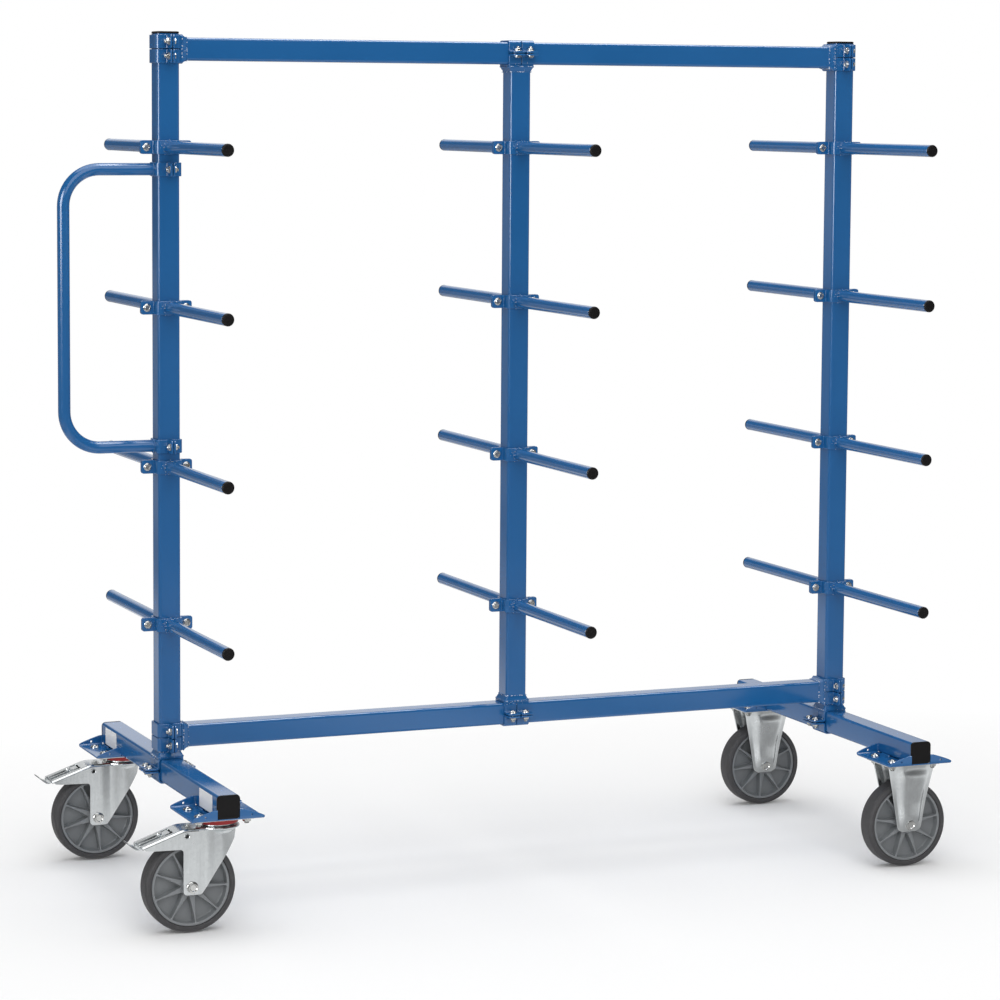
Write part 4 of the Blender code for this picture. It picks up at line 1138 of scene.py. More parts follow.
@dataclass
class BaseBeam:
    """One base beam with its mount pans, end caps and blank labels.

    Attributes:
        side: "left" or "right".
        tubes: The tube frame, whose tube and cap shapes it uses.
        labels: True where labels are stuck on its outer face.
        pan_length: Length of a pan across the cart.
        pan_half: Half its width.
        sheet: Its thickness.
        lip: Height of its lips.
        tip: Where the lips start to narrow.
        fold: Radius of its folds.
        label: Half the labels' length and height, and their corners' radius.
    """

    side: str
    tubes: TubeFrame
    labels: bool
    pan_length: float = 0.162
    pan_half: float = 0.080
    sheet: float = 0.004
    lip: float = 0.024
    tip: float = 0.010
    fold: float = 0.005
    label: tuple[float, float, float] = (0.045, 0.0195, 0.002)

    pan_low = CASTER_TOP + 0.0003
    # Slots, holes and mount bolts from the pan's middle: half sizes or radius, and places
    slot, slot_x = (0.004, 0.018, 0.0039), 0.0345
    hole, hole_depth, hole_x, hole_z = 0.0026, 0.005, 0.051, 0.0105
    bolt_x, bolt_y = 0.0525, 0.040
    # Weld beads: where they start from the pan's middle or its tips, and their lengths
    seams, seam, lip_in, lip_seam = (-0.060, 0.022), 0.036, 0.0046, 0.016

    def _section(self, here: Vector, tip: bool) -> Points:
        """Return the pan's section, narrower up its lips.

        Args:
            here: The point on the pan's path.
            tip: True at the lips' tips.

        Returns:
            The section's outline.
        """
        start, width = self.tip - 0.004, self.pan_half
        rise = here.y - self.pan_low - start
        if rise > 0:
            width += (HALF + 0.006 - self.pan_half) * (rise / (self.lip - start)) ** 1.25
        return oblong(self.sheet / 2 - (0.0008 if tip else 0.0), width, 0.0012, 3)

    def pan(self, centre_y: float) -> Solid:
        """Return the folded mount pan: a flat sheet whose front and rear lips slope down to round tips.

        Args:
            centre_y: Its middle across the cart.

        Returns:
            The pan, with its slots and holes.
        """
        x, low = POSTS[self.side], self.pan_low
        half, middle, top = self.pan_length / 2 - self.sheet / 2, low + self.sheet / 2, low + self.lip
        path = rounded([(-half, top), (-half, middle, self.fold), (half, middle, self.fold), (half, top)], 5)
        lifts = [top - (top - middle - self.fold) * share
                 for share in (0.0, 0.04, 0.15, 0.32, 0.5, 0.66, 0.8, 0.92)]
        path = [(-half, z) for z in lifts] + path[1:-1] + [(half, z) for z in reversed(lifts)]
        cutters = [Solid().prism(oblong(HALF - 0.0004, self.pan_length, 0.001, 1), -0.0002, self.lip * 2,
                                 shift(x, centre_y, low + self.sheet))]
        for side in SIDES:
            cutters.append(Solid().prism(oblong(*self.slot, 4), -self.sheet, self.sheet * 2,
                                         shift(x + side * self.slot_x, centre_y, low)))
            for end in SIDES:
                spot = Vector((x + side * self.hole_x, centre_y + end * half, low + self.hole_z))
                cutters.append(Solid().turn([(self.hole, -self.hole_depth), (self.hole, self.hole_depth)],
                                            frame_at(spot, X, Z), 20, loop=False))
        sheet = Solid().sweep(path, self._section, frame_at(Vector((x, centre_y, 0)), Y, Z))
        return Solid().add(sheet.carved(*cutters))

    def beads(self, solid: Solid, centre: float, side: int) -> None:
        """Add the weld beads between a pan and one side of the tube.

        Args:
            solid: The beam's solid.
            centre: The pan's middle across the cart.
            side: -1 or 1.
        """
        edge, rise = POSTS[self.side] + side * (HALF + BEAD_OUT), CASTER_TOP + 0.0050
        for place in self.seams:
            start = Vector((edge, centre + place, rise))
            solid.add(bead([start, start + Y * self.seam], BEAD, Z, 7 + side * 3, False))
        for lip in SIDES:
            start = Vector((edge, centre + lip * (self.pan_length / 2 - self.lip_in), rise + 0.001))
            solid.add(bead([start, start + Z * self.lip_seam], 0.0016, Y, 17 + side * 3, False))

    def build(self) -> list[Matrix]:
        """Make the beam and what is on it.

        Returns:
            The places of the bolts through its pans.
        """
        x, solid, bolts = POSTS[self.side], Solid(), []
        self.tubes.tube(solid, Vector((x, -BEAM_HALF, BASE_Z)), Vector((x, BEAM_HALF, BASE_Z)))
        for end, sign in ENDS.items():
            centre = sign * CASTER_Y
            solid.add(self.pan(centre))
            for side in SIDES:
                self.beads(solid, centre, side)
                bolts += [shift(x + side * self.bolt_x, centre + place * self.bolt_y, CASTER_TOP - 0.0003)
                          @ rotation(0.3 + side + place * 0.5) for place in SIDES]
            tip = Vector((x, sign * BEAM_HALF, BASE_Z))
            self.tubes.cap(f"cap_{self.side}_{end}", frame_at(tip, X * -sign, Z))
            if self.labels:
                place = frame_at(Vector((x - HALF, centre, BASE_Z)), Y * -1, Z)
                label = Solid().prism(oblong(*self.label, 3), -0.0001, 0.0006, place, 0.0002)
                Piece(f"label_{self.side}_{end}", "frame", (Finishes.LABEL,)).make(label)
        Piece.of(f"base_beam_{self.side}", "steel", Finishes.BLUE).make(solid)
        return bolts


@dataclass(frozen=True)
class Arms:
    """The twelve pairs of arms.

    Attributes:
        clamp: The clamp whose halves the arms are welded to.
        scatter: Places the bolts.
        grains: Number of spatter grains round each weld.
        steps: Segments round the bar.
    """

    clamp: Clamp
    scatter: Scatter
    grains: int = 22
    steps: int = 40

    tube_end = ARM_TIP - 0.0045
    bar_profile = ((-0.0010, GRIP_INNER + 0.002), (0.0, GRIP_INNER + 0.003), (0.0, tube_end - 0.0006),
                   (-0.0006, tube_end), (-0.004, tube_end))
    cap_profile = ((-0.0030, tube_end - 0.002), (-0.0004, tube_end + 0.0002), (0.0002, tube_end + 0.0010),
                   (0.0002, tube_end + 0.0024), (-0.0008, tube_end + 0.0038), (-0.0030, ARM_TIP),
                   (-0.0070, ARM_TIP), (-0.0080, ARM_TIP - 0.0006))

    def arm(self) -> Solid:
        """Return the front arm: half clamp, weld bead, spatter, round tube and black end cap.

        Returns:
            The arm's solid.
        """
        solid = Solid().add(self.clamp.half)
        solid.turn(moved(self.bar_profile, BAR_RADIUS), FORWARD, self.steps, loop=False)
        solid.add(bar_weld(FORWARD, GRIP_OUTER + BEAD_OUT, Y, 5))
        generator = random.Random(8)
        for index in range(self.grains):
            angle, size = generator.uniform(0, math.tau), generator.uniform(0.0006, 0.0012)
            reach, height = (BAR_RADIUS + generator.uniform(0.001, 0.007), GRIP_OUTER) if index % 2 else (
                BAR_RADIUS, GRIP_OUTER + generator.uniform(0.002, 0.012))
            spot = FORWARD @ Vector((reach * math.cos(angle), reach * math.sin(angle), height))
            # Spatter grains take the pale weld finish, a painted glint
            solid.add(blob_mesh(), Matrix.LocRotScale(spot, None, Vector((size, size, size))), 2)
        return solid.turn(moved(self.cap_profile, BAR_RADIUS), FORWARD, self.steps, slot=1, loop=False)

    def build(self) -> None:
        """Make every arm and the bolts of each pair."""
        arm = self.arm()
        for post, x in POSTS.items():
            for level, z in enumerate(ARM_LEVELS, 1):
                body, place = f"arms_{post}_{level}", shift(x, 0, z)
                for end, turn in (("front", Matrix.Identity(4)), ("back", TURN_BACK)):
                    Piece.of(f"arm_{post}_{level}_{end}", "steel", Finishes.BLUE, Finishes.BLACK,
                             Finishes.WELD, body=body).make(Solid().add(arm, place @ turn))
                self.scatter.spread(self.clamp.bolt.mesh(), self.clamp.bolt_places(place, 0.5 * level, 1.0),
                                    Piece(f"arm_bolts_{post}_{level}", body, (Finishes.BOLT,)))


@dataclass(frozen=True)
class PushHandle:
    """The bent push handle with a clamp at both ends.

    Attributes:
        clamp: The clamp that its ends are welded to.
        bend_steps: Segments of each bend.
        steps: Segments round the bar.
    """

    clamp: Clamp
    bend_steps: int = 16
    steps: int = 36

    def build(self, bolts: list[Matrix]) -> None:
        """Make the handle.

        Args:
            bolts: Collects the places of its clamps' bolts.
        """
        x, start, bend = POSTS["left"], -GRIP_INNER - 0.002, HANDLE_REACH - HANDLE_BEND
        path = [(start, 0.0)]
        for corner, sign in ((0.0, 1), (-HANDLE_HEIGHT, -1)):
            for step in range(self.bend_steps + 1):
                share = step / self.bend_steps if sign == 1 else 1 - step / self.bend_steps
                angle = share * math.pi / 2
                path.append((-bend - HANDLE_BEND * math.sin(angle),
                             corner - sign * HANDLE_BEND * (1 - math.cos(angle))))
        path.append((start, -HANDLE_HEIGHT))
        solid = Solid().sweep(path, lambda here, tip: circle(BAR_RADIUS, self.steps),
                              frame_at(Vector((x, 0, HANDLE_TOP)), X, Z))
        for index, height in enumerate((HANDLE_TOP, HANDLE_TOP - HANDLE_HEIGHT)):
            centre = Vector((x, 0, height))
            self.clamp.grip(solid, bolts, centre, Z, -X, (0.0,))
            solid.add(bar_weld(frame_at(centre, Y, Z), -GRIP_OUTER - BEAD_OUT, X, 31 + index))
        Piece.of("push_handle", "steel", Finishes.BLUE).make(solid)


@dataclass(frozen=True)
class Wheel:
    """A wheel: spoked rim, solid tyre and axle bolt.

    Attributes:
        name: The start of the CAD nodes' names.
        angle: Angle of the first rib, in degrees.
        place: Where the wheel's middle is.
        body: The body that turns with the wheel.
        carrier: The body that holds the axle.
        ribs: Number of ribs.
        hub: Radius of the hub.
        band: Inner radius of the rim's band.
        bore: Radius of the axle's hole.
    """

    name: str
    angle: float
    place: Vector
    body: str
    carrier: str
    ribs: int = 9
    hub: float = 0.0215
    band: float = 0.0800
    bore: float = 0.0064

    outer_rows = ((0.0, 0.0200), (-0.0008, 0.0209))
    band_rows = ((0.0012, 0.0211), (0.0002, 0.0204), (-0.0006, 0.0150), (-0.0026, 0.0060), (-0.0064, 0.0031))
    hub_rows = ((0.0060, 0.0030), (0.0022, 0.0052), (0.0006, 0.0200), (-0.0002, 0.0262), (-0.0016, 0.0276),
                (-0.0060, 0.0278), (-0.0066, 0.0288))
    bore_rows = ((0.004, 0.0290), (0.0, 0.0286))
    tyre_rows = ((0.0, 0.0), (-0.0001, 0.010), (-0.0005, 0.0166), (-0.0011, 0.0171), (-0.0008, 0.0178),
                 (-0.0016, 0.0200), (-0.0032, 0.0224), (-0.0056, 0.0240), (-0.0080, 0.0247), (-0.0104, 0.0246),
                 (-0.0110, 0.0241), (-0.0122, 0.0238), (-0.0132, 0.0228), (-0.0140, 0.0216))

    @property
    def upright(self) -> Matrix:
        """The wheel's frame, its Z axis along the axle to the front."""
        return Matrix.Translation(self.place) @ FORWARD

    def rib(self) -> Solid:
        """Return one rib's ridge on the +Z face of the web, along +X.

        Returns:
            The rib's solid.
        """
        rings, start = [], self.hub - 0.002
        for share in (index / 12 for index in range(13)):
            radius = start + (self.band + 0.0015 - start) * share
            half = 0.0019 + 0.0050 * (1 - share) ** 1.6 + 0.0022 * max(0.0, share - 0.9) * 10
            top, foot = 0.0205 - 0.0005 * math.sin(math.pi * share), 0.0022
            section = [(-half - foot, 0.002), (-half - foot * 0.35, 0.0036), (-half, 0.0062),
                       (-half + 0.0003, top - 0.0012), (-half + 0.0012, top)]
            section += [(-y, z) for y, z in reversed(section)]
            rings.append([Vector((radius, y, z)) for y, z in section])
        return Solid().loft(rings)

    def rim(self) -> Solid:
        """Return the rim: web, hub, band and ribs.

        Returns:
            The rim's solid.
        """
        upper = (moved(self.outer_rows, WHEEL_RADIUS - 0.0143) + moved(self.band_rows, self.band)
                 + moved(self.hub_rows, self.hub) + moved(self.bore_rows, self.bore))
        profile = upper + [(radius, -height) for radius, height in reversed(upper)]
        solid, rib = Solid().turn(profile, self.upright, 96), self.rib()
        for index in range(self.ribs):
            turn = rotation(math.radians(self.angle) + math.tau * index / self.ribs)
            solid.add(rib, self.upright @ turn).add(rib, self.upright @ turn @ TURN_OVER)
        return solid

    def tyre(self) -> Mesh:
        """Return the tyre, with each point's radius kept for the turned lines.

        Returns:
            The tyre's mesh.
        """
        upper = moved(self.tyre_rows, WHEEL_RADIUS)
        profile = upper + [(radius, -height) for radius, height in reversed(upper[1:])]
        mesh = Solid().turn(profile, self.upright, 128).mesh()
        layer = mesh.attributes.new("turn_radius", "FLOAT", "POINT")
        for index, vert in enumerate(mesh.vertices):
            away = vert.co - self.place
            layer.data[index].value = math.hypot(away.x, away.z) + abs(away.y)
        return mesh

    def build(self) -> None:
        """Make the wheel's pieces."""
        Piece.of(f"{self.name}_rim", "moulding", Finishes.RIM, body=self.body).make(self.rim())
        Piece.of(f"{self.name}_tyre", "rubber", Finishes.TYRE, body=self.body).make(self.tyre())
        bolt = HexBolt((FORK_INNER + 0.0033) * 2, 0.006, 0.0104, 0.0126, 0.0086, 0.0082, 0.003)
        axle = Solid().add(bolt.mesh(), self.upright @ rotation(math.radians(self.angle)))
        Piece.of(f"{self.name}_axle", "bolt", Finishes.BOLT, body=self.carrier).make(axle)


def caster_plate(x: float, y: float) -> Solid:
    """Return a caster's flat top plate with rounded corners."""
    return Solid().prism(oblong(0.070, 0.055, 0.010), PLATE_LOW, CASTER_TOP, shift(x, y), 0.0008)


@dataclass(frozen=True)
class FixedCaster:
    """A fixed caster: plate with two pressed legs, and its wheel.

    Attributes:
        end: "front" or "back".
        angle: Angle of the wheel's first rib.
        foot: Height of the legs' lower ends.
        foot_round: Radius of their corners.
        half_width: Half a leg's width at the plate.
        splay_start: Height where the legs start to splay.
        wall: Thickness of the sheet.
    """

    end: str
    angle: float
    foot: float = 0.084
    foot_round: float = 0.012
    half_width: float = 0.0595
    splay_start: float = 0.150
    wall: float = 0.003

    rows, columns, top = 30, 24, PLATE_LOW + 0.001

    def _row(self, rise: float) -> list[tuple[float, float, float]]:
        """Return one row of a leg's points, as if the leg stood on the +Y side of the origin.

        Args:
            rise: The row's share of the leg's height.

        Returns:
            The points.
        """
        z = self.foot + (self.top - self.foot) * rise
        cut = max(self.foot_round - (z - self.foot), 0.0)
        width = self.half_width * (0.50 + 0.50 * rise ** 1.15)
        width -= self.foot_round - math.sqrt(self.foot_round ** 2 - cut ** 2)
        splay = max(0.0, (z - self.splay_start) / (self.top - self.splay_start))
        out = FORK_INNER + 0.0215 * splay ** 1.3
        grow = smooth(unit((z - 0.090) / 0.030) * unit((self.top - 0.003 - z) / 0.030))
        points = []
        for share in (column / self.columns * 2 - 1 for column in range(self.columns + 1)):
            panel = 0.0070 * smooth((0.80 - abs(share)) / 0.30) + 0.0026 * max(1 - (share / 0.6) ** 2, 0.0)
            wing = unit((abs(share) - 0.45) / 0.55) ** 1.4 * 0.72 * max(out - 0.0280, 0.0)
            points.append((share * width, out + panel * grow - wing, z))
        return points

    def leg(self, x: float, y: float, side: int) -> Mesh:
        """Return one leg: a pressed sheet that splays to the plate and carries a raised centre panel.

        Args:
            x: The caster's place along the cart.
            y: Its place across the cart.
            side: -1 or 1.

        Returns:
            The leg's mesh.
        """
        mesh = bpy.data.meshes.new("leg")
        with editing(mesh) as working:
            grid = [[working.verts.new((x + across, y + side * out, z)) for across, out, z in self._row(
                row / self.rows)] for row in range(self.rows + 1)]
            for low, high in zip(grid, grid[1:]):
                for index in range(self.columns):
                    face = (low[index], low[index + 1], high[index + 1], high[index])
                    working.faces.new(face if side < 0 else face[::-1])
        return modified(mesh, ("SOLIDIFY", {"thickness": self.wall, "offset": 1.0, "use_even_offset": True}),
                        bevel(0.0009, 1.0))

    def build(self) -> None:
        """Make the bracket and its wheel."""
        x, y, name = POSTS["right"], ENDS[self.end] * CASTER_Y, f"fixed_{self.end}"
        solid = caster_plate(x, y)
        for side in SIDES:
            solid.add(self.leg(x, y, side))
        Piece.of(f"{name}_bracket", "zinc", Finishes.ZINC).make(solid)
        Wheel(name, self.angle, Vector((x, y, WHEEL_RADIUS)), f"{name}_wheel", "frame").build()


@dataclass(frozen=True)
class SwivelCaster:
    """A swivel caster with a total-lock brake, and its wheel.

    Attributes:
        end: "front" or "back".
        angle: Angle of the wheel's first rib.
        crown_top: Height of the crown's top.
        arm_start: How far behind the kingpin the brake arm starts to fall.
        arm_reach: How far behind it the arm ends.
        arm_fall: How far the arm falls.
        depth: Depth of the arm's side plates.
        pin: How far behind the kingpin, and below the top, the pedal's pin is.
        sheet: Thickness of the fork's sheet.
    """

    end: str
    angle: float
    crown_top: float = 0.2257
    arm_start: float = 0.084
    arm_reach: float = 0.174
    arm_fall: float = 0.0315
    depth: float = 0.043
    pin: tuple[float, float] = (0.0765, 0.015)
    sheet: float = 0.003

    crown_rows = ((0.0455, 0.0), (0.0470, -0.0008), (0.0474, -0.0024), (0.0464, -0.0042), (0.0430, -0.0058),
                  (0.0385, -0.0092), (0.0350, -0.0142), (0.0325, -0.0160), (0.0110, -0.0160),
                  (0.0090, -0.0150), (0.0090, -0.001), (0.0100, 0.0))
    seal_rows = ((0.0365, 0.0), (0.0448, 0.0), (0.0458, -0.0010), (0.0460, -0.0030), (0.0450, -0.0058),
                 (0.0454, -0.0078), (0.0446, -0.0100), (0.0436, -0.0106), (0.0372, -0.0106), (0.0365, -0.0100))
    eye_rows = ((0.0046, -0.0030), (0.0046, 0.0008), (0.0052, 0.0014), (0.0064, 0.0014), (0.0072, 0.0004),
                (0.0072, -0.0020))
    pin_rows = ((0.0010, -0.0240), (0.0040, -0.0240), (0.0052, -0.0232), (0.0052, 0.0232), (0.0040, 0.0240),
                (0.0010, 0.0240))
    lever_path = ((-0.079, -0.0120), (-0.098, -0.0125), (-0.112, -0.0150), (-0.150, -0.0283),
                  (-0.174, -0.0366), (-0.180, -0.0380), (-0.185, -0.0372), (-0.190, -0.0338),
                  (-0.1965, -0.0285), (-0.2020, -0.0242))
    shoe_rows = ((0.0026, 0.0), (0.0060, 0.0), (0.0060, 0.0060), (0.0052, 0.0072), (0.0036, 0.0072),
                 (0.0026, 0.0062))
    lever_wall, lever_half, lever_turn = 0.0030, 0.0245, 0.19
    # Place along, across and above the arm, half length, half width, corner, height and edge of each ridge
    ridges = ((-0.1450, 0.0090, -0.0266, 0.0290, 0.0018, 0.0017, 0.0066, 0.0008),
              (-0.1470, 0.0185, -0.0273, 0.0310, 0.0014, 0.0013, 0.0050, 0.0006))

    @property
    def top(self) -> float:
        """The height of the fork's flat top."""
        return self.crown_top - 0.0003

    @property
    def slope(self) -> float:
        """The brake arm's fall over its length."""
        return self.arm_fall / (self.arm_reach - self.arm_start)

    def side_plate(self, side: int) -> Mesh:
        """Return one side plate of the fork, curved inward towards its front edge.

        Args:
            side: -1 or 1.

        Returns:
            The plate's mesh, about the kingpin.
        """
        top, notch, leg_low, reach = self.top - 0.0035, -TRAIL - 0.0195, WHEEL_RADIUS - 0.016, -self.arm_reach
        outline = rounded([
            (notch, leg_low, 0.008), (-TRAIL + 0.0195, leg_low, 0.009), (0.0150, top - 0.0500, 0.020),
            (0.0320, top - 0.0250, 0.012), (0.0360, top - 0.0020, 0.003), (-self.arm_start, top, 0.004),
            (reach + 0.002, top + (reach + 0.002 + self.arm_start) * self.slope, 0.0015),
            (reach + 0.008, self.top - self.arm_fall - 0.0085, 0.003),
            (reach + 0.021, self.top - self.depth + 0.0015, 0.008), (notch, self.top - self.depth, 0.007)], 7)
        hole = moved(circle(0.0048, 24), -self.pin[0], self.top - self.pin[1])
        mesh = plate([outline, hole], self.sheet,
                     frame_at(Vector((0, side * (FORK_INNER + self.sheet / 2), 0)), X, Z))
        with editing(mesh) as working:
            for axis, start, step, count in ((X, reach, 0.004, 53), (Z, leg_low, 0.008, 17)):
                for index in range(1, count + 1):
                    everything = working.verts[:] + working.edges[:] + working.faces[:]
                    bmesh.ops.bisect_plane(working, geom=everything, plane_co=axis * (start + step * index),
                                           plane_no=axis)
            for vert in working.verts:
                bulge = 0.0030 * math.exp(-((vert.co.x + 0.034) / 0.016) ** 2)
                inward = max(0.0, (vert.co.x + 0.004) / 0.040) ** 2 * 0.0170
                vert.co.y += side * (bulge - inward)
        return modified(mesh, bevel(0.0007))

    def cover(self) -> Mesh:
        """Return the folded sheet over the brake arm, with its window, about the kingpin.

        Returns:
            The cover's mesh.
        """
        outer, wall, bend, low = FORK_INNER + 0.0042, self.sheet, 0.0056, -0.006
        inner, inner_bend = outer - wall, bend - wall + 0.0005
        arch = rounded([(-outer, low), (-outer, 0.0, bend), (outer, 0.0, bend), (outer, low), (inner, low),
                        (inner, -wall, inner_bend), (-inner, -wall, inner_bend), (-inner, low)], 5)
        start, reach = -self.arm_start, -self.arm_reach
        path = [(-0.030, 0.0), (start + 0.012, 0.0), (start + 0.004, -0.0004), (start - 0.004, -0.0018),
                (start - 0.010, -0.0036), (reach + 0.004, -self.arm_fall + 0.0014), (reach, -self.arm_fall)]
        sheet = Solid().loft([[Vector((px, v, self.top + pz + w)) for v, w in arch] for px, pz in path])
        window = Solid().prism(oblong(0.0405, 0.0215, 0.004), -0.012, 0.012, shift(
            -0.1415, 0, self.top - 0.0196) @ rotation(-math.atan(self.slope), "Y"))
        return modified(sheet.carved(window), bevel(0.0006))

    def _lever_section(self, here: Vector, tip: bool) -> Points:
        """Return the pedal's section, narrower from where its tip turns up."""
        thin, past = 0.0006 if tip else 0.0, max(-here.x - self.lever_turn, 0.0)
        return oblong(self.lever_wall / 2 - thin, self.lever_half - past * 0.25 - thin, 0.0007, 2)

    def pedal(self, x: float, y: float) -> Solid:
        """Return the brake pedal: pin, pressed lever with ridges, upturned tip and shoe.

        Args:
            x: The kingpin's place along the cart.
            y: Its place across the cart.

        Returns:
            The pedal's solid.
        """
        base, tilt = shift(x, y, self.top), rotation(-math.atan(self.slope), "Y")
        back, drop = self.pin
        solid = Solid().turn(self.pin_rows, frame_at(Vector((x - back, y, self.top - drop)), X, Z), 28)
        slot = Solid().prism(oblong(0.0240, 0.0060, 0.0024), -0.01, 0.01,
                             base @ shift(-0.1500, 0, -0.0283) @ tilt)
        lever = Solid().sweep(self.lever_path, self._lever_section, frame_at(Vector((x, y, self.top)), X, Z))
        solid.add(lever.carved(slot))
        for side in SIDES:
            for along, across, lift, half_u, half_v, corner, height, edge in self.ridges:
                solid.prism(oblong(half_u, half_v, corner, 4), -0.001, height,
                            base @ shift(along, side * across, lift) @ tilt, edge)
        solid.prism(oblong(0.0105, 0.0135, 0.0025, 4), -0.0010, 0.0044,
                    base @ shift(-0.1165, 0, -0.0156) @ tilt, 0.0007)
        return solid.turn(self.shoe_rows, base @ shift(-0.1270, 0, -0.0190) @ tilt, 32)

    def build(self) -> None:
        """Make the caster's pieces and its wheel."""
        x, y, name = POSTS["left"], ENDS[self.end] * CASTER_Y, f"swivel_{self.end}"
        place, yoke = shift(x, y), f"{name}_yoke"
        race, low, seal_top = self.crown_top + 0.0003, self.crown_top - 0.0163, PLATE_LOW - 0.0003
        flange = caster_plate(x, y).turn([
            (0.0360, PLATE_LOW + 0.001), (0.0360, race + 0.001), (0.0345, race), (0.001, race),
            (0.001, PLATE_LOW + 0.001)], place, 64)
        kingpin = HexBolt(0.030, 0.008, 0.0112, 0.0128, 0.006, 0.006, 0.002)
        flange.add(kingpin.mesh(), place @ shift(z=low + kingpin.grip / 2))
        Piece.of(f"{name}_plate", "zinc", Finishes.ZINC).make(flange)
        seal = Solid().turn(moved(self.seal_rows, v=seal_top), place, 72)
        Piece.of(f"{name}_seal", "ring", Finishes.SEAL).make(seal)
        fork = Solid().turn(moved(self.crown_rows, v=self.crown_top), place, 72)
        for side in SIDES:
            fork.add(self.side_plate(side), place)
            eye = Vector((x - self.pin[0], y + side * (FORK_INNER + 0.0028), self.top - self.pin[1]))
            fork.turn(self.eye_rows, frame_at(eye, X, Z * side) @ TURN_OVER, 32)
        Piece.of(f"{name}_fork", "zinc", Finishes.ZINC, body=yoke).make(fork.add(self.cover(), place))
        Piece.of(f"{name}_pedal", "zinc", Finishes.ZINC, body=f"{name}_brake").make(self.pedal(x, y))
        Wheel(name, self.angle, Vector((x - TRAIL, y, WHEEL_RADIUS)), f"{name}_wheel", yoke).build()


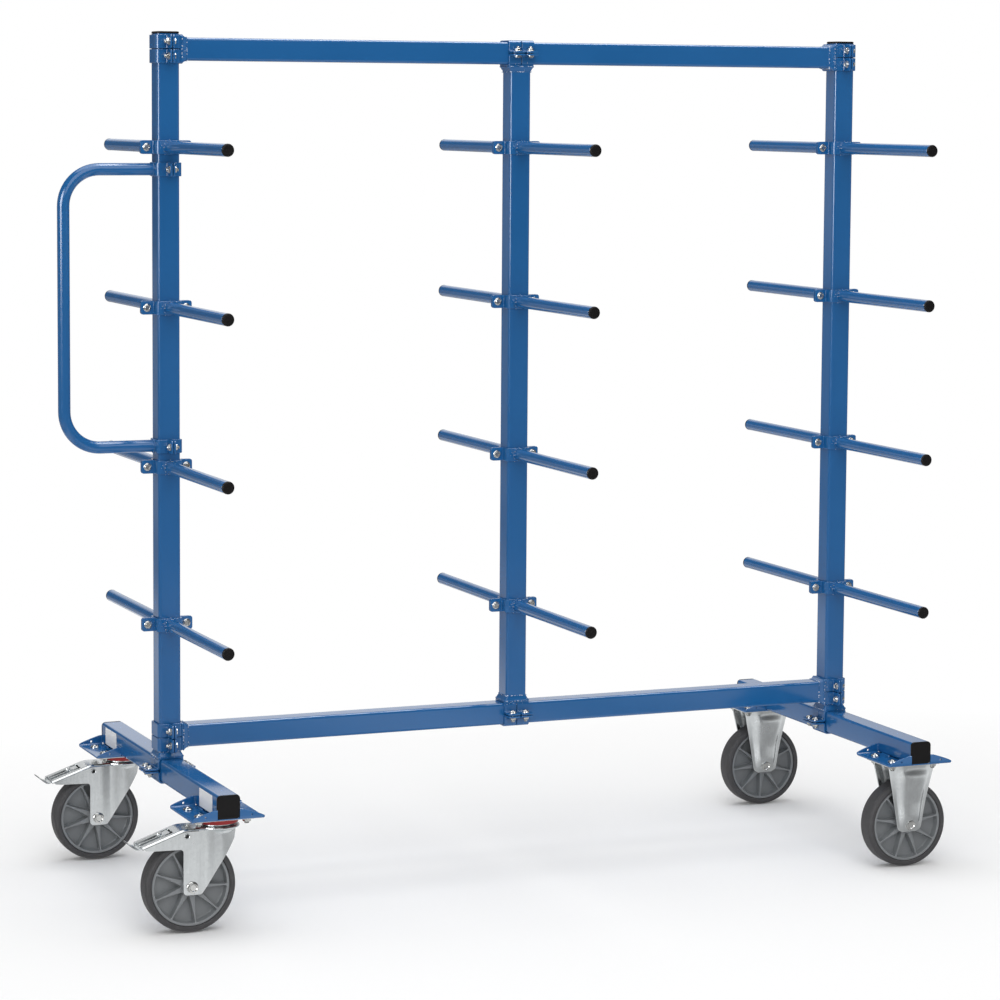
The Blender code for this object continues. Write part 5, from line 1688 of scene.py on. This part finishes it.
@dataclass(frozen=True)
class Studio:
    """The camera, the floor and the light.

    Attributes:
        place: The camera's place.
        yaw: Its turn from +Y towards +X.
        pitch: Its tilt above the horizon.
        roll: Its roll.
        focal: Focal length in pixels of a 1000 pixel image.
        shift: Vertical shift.
        sensor: The sensor's width in millimetres.
    """

    place: tuple[float, float, float] = (-2.85708, -6.96519, 1.74857)
    yaw: float = 0.39376
    pitch: float = -0.09524
    roll: float = 0.0069
    focal: float = 3306.02
    shift: float = -0.08
    sensor: float = 36.0

    # Name, place, aim, size and power of each softbox
    lamps = (("key", (-1.3, -5.8, 5.2), (0.1, 0, 0.8), 7.0, 212.0),
             ("overhead", (-0.2, 0.4, 5.6), (0, 0, 0.6), 5.4, 142.0))
    # Direction, outer and inner edge as cosines, and strength of each card that only reflections see
    cards = (((-0.86, -0.50, 0.12), 0.925, 0.975, 9.5), ((0.1, -0.25, 0.96), 0.88, 0.97, 0.8),
             ((0.40, 0.0, 0.92), 0.955, 0.99, 9.0), ((-0.62, 0.78, 0.0), 0.935, 0.985, 0.5),
             ((0.80, -0.60, 0.0), 0.88, 0.99, 0.25))

    def camera(self) -> None:
        """Make the camera at the photograph's viewing angle."""
        data = bpy.data.cameras.new("camera")
        data.sensor_width, data.lens = self.sensor, self.focal * self.sensor / 1000
        data.shift_y, data.clip_end = self.shift, 200.0
        ahead = Vector((math.sin(self.yaw) * math.cos(self.pitch), math.cos(self.yaw) * math.cos(self.pitch),
                        math.sin(self.pitch)))
        right = Vector((math.cos(self.yaw), -math.sin(self.yaw), 0))
        up = right.cross(ahead)
        right, up = (right * math.cos(self.roll) + up * math.sin(self.roll),
                     up * math.cos(self.roll) - right * math.sin(self.roll))
        turn = Matrix((right, up, -ahead)).transposed().to_4x4()
        camera = linked(data, "camera")
        camera.matrix_world = Matrix.Translation(self.place) @ turn
        bpy.context.scene.camera = camera

    def light(self) -> None:
        """Add the softboxes."""
        for name, place, aim, size, power in self.lamps:
            data = bpy.data.lights.new(name, "AREA")
            data.shape, data.size, data.energy = "DISK", size, power
            lamp = linked(data, name)
            lamp.location = place
            lamp.rotation_euler = (Vector(aim) - Vector(place)).to_track_quat("-Z", "Y").to_euler()

    @staticmethod
    def facing(graph: Graph, direction: Socket, toward: tuple[float, float, float]) -> Socket:
        """Return how far a direction looks toward another: 1 along it, -1 away from it."""
        return graph.vector("DOT_PRODUCT", direction, Vector(toward).normalized())["Value"]

    def world(self) -> None:
        """Make the world: white to the camera, even to matt surfaces, a room with cards to glossy ones."""
        world = bpy.data.worlds.new("studio")
        bpy.context.scene.world = world
        world.use_nodes = True
        graph = Graph(world.node_tree)
        direction = graph.node("ShaderNodeTexCoord").outputs["Generated"]
        room = graph.ramp(self.facing(graph, direction, (0.26, 0.92, 0.28)), 0.925, 0.985, 0.09, 1.0)
        for toward, low, high, strength in self.cards:
            room = graph.math("ADD", room, graph.ramp(self.facing(graph, direction, toward), low, high, 0.0,
                                                      strength))
        paths = graph.node("ShaderNodeLightPath").outputs
        level = graph.choose(paths["Is Glossy Ray"], 0.57, room)
        level = graph.math("MAXIMUM", level, paths["Is Camera Ray"])
        graph.fill(world.node_tree.nodes["Background"], {"Color": (1, 1, 1, 1), "Strength": level})

    def floor(self) -> None:
        """Make the pale floor, which keeps the cart's soft shadow and fades to white away from it."""
        mesh = bpy.data.meshes.new("floor")
        with editing(mesh) as working:
            bmesh.ops.create_circle(working, cap_ends=True, segments=96, radius=30.0)
        material = bpy.data.materials.new("floor")
        material.use_nodes = True
        graph, nodes = Graph(material.node_tree), material.node_tree.nodes
        place = graph.place()
        shade = graph.ramp(graph.noise(place, 1.2, 2.0), 0.3, 0.7, 0.895, 0.905)
        pale = graph.node("ShaderNodeCombineColor", {0: shade, 1: shade, 2: shade}).outputs[0]
        graph.fill(nodes["Principled BSDF"], {"Base Color": pale, "Roughness": 0.9, "Specular IOR Level": 0.1})
        across, deep = graph.node("ShaderNodeSeparateXYZ", {0: place}).outputs[:2]
        away = graph.vector("LENGTH", place)["Value"]
        near = graph.vector("LENGTH", graph.vector("MULTIPLY", place, (0.8, 1.25, 0))[0])["Value"]
        # Reflections see a band beside the cart, darker further away and lighter behind it
        band = graph.math("COSINE", graph.math("MULTIPLY_ADD", across, 5.417, -2.708))
        cards = graph.math("MULTIPLY_ADD", band, 0.34, 0.68)
        cards = graph.math("MULTIPLY", cards, graph.ramp(away, 1.6, 5.0, 1.0, 0.22))
        cards = graph.math("MULTIPLY", cards, graph.ramp(deep, 0.8, 4.0, 1.0, 1.75))
        paths = graph.node("ShaderNodeLightPath").outputs
        level = graph.choose(paths["Is Glossy Ray"], 1.0, cards)
        white = graph.node("ShaderNodeEmission", {"Color": (1, 1, 1, 1), "Strength": level})
        seen = graph.math("MULTIPLY", graph.ramp(near, 0.75, 2.3, 0.0, 1.0), paths["Is Camera Ray"])
        seen = graph.math("MAXIMUM", seen, graph.math("MULTIPLY", paths["Is Glossy Ray"], 0.85))
        blend = graph.node("ShaderNodeMixShader", {0: seen, 1: nodes["Principled BSDF"].outputs[0],
                                                   2: white.outputs[0]})
        graph.fill(nodes["Material Output"], {"Surface": blend.outputs[0]})
        mesh.materials.append(material)
        obj = linked(mesh, "floor")
        obj.location.z = -0.0005

    def build(self) -> None:
        """Make the whole studio."""
        self.camera()
        self.light()
        self.world()
        self.floor()
        bpy.context.scene.view_settings.view_transform = "Standard"


def main() -> None:
    """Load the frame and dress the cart."""
    logging.basicConfig(level=logging.INFO, format="%(name)s %(message)s")
    for obj in list(bpy.data.objects):
        bpy.data.objects.remove(obj, do_unlink=True)
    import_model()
    Studio().build()
    scatter, clamp = Scatter(), Clamp()
    tubes = TubeFrame(clamp)
    tubes.build()
    mounts: list[Matrix] = []
    for side in ("left", "right"):
        mounts += BaseBeam(side, tubes, side == "left").build()
    PushHandle(clamp).build(tubes.bolts)
    Arms(clamp, scatter).build()
    scatter.spread(clamp.bolt.mesh(), tubes.bolts, Piece("frame_clamp_bolts", "frame", (Finishes.BOLT,)))
    # Weld spatter round the joints, painted pale as glints
    scatter.spread(blob_mesh(), tubes.drops, Piece("weld_spatter", "frame", (Finishes.WELD,)))
    scatter.spread(HexBolt(0.0104, 0.005, 0.0080, 0.0108, 0.0066, 0.0040, 0.004).mesh(), mounts,
                   Piece("caster_mount_bolts", "frame", (Finishes.BOLT,)))
    for end, swivel_angle, fixed_angle in (("front", 38, 10), ("back", 36, 25)):
        SwivelCaster(end, swivel_angle).build()
        FixedCaster(end, fixed_angle).build()


if __name__ == "__main__":
    main()
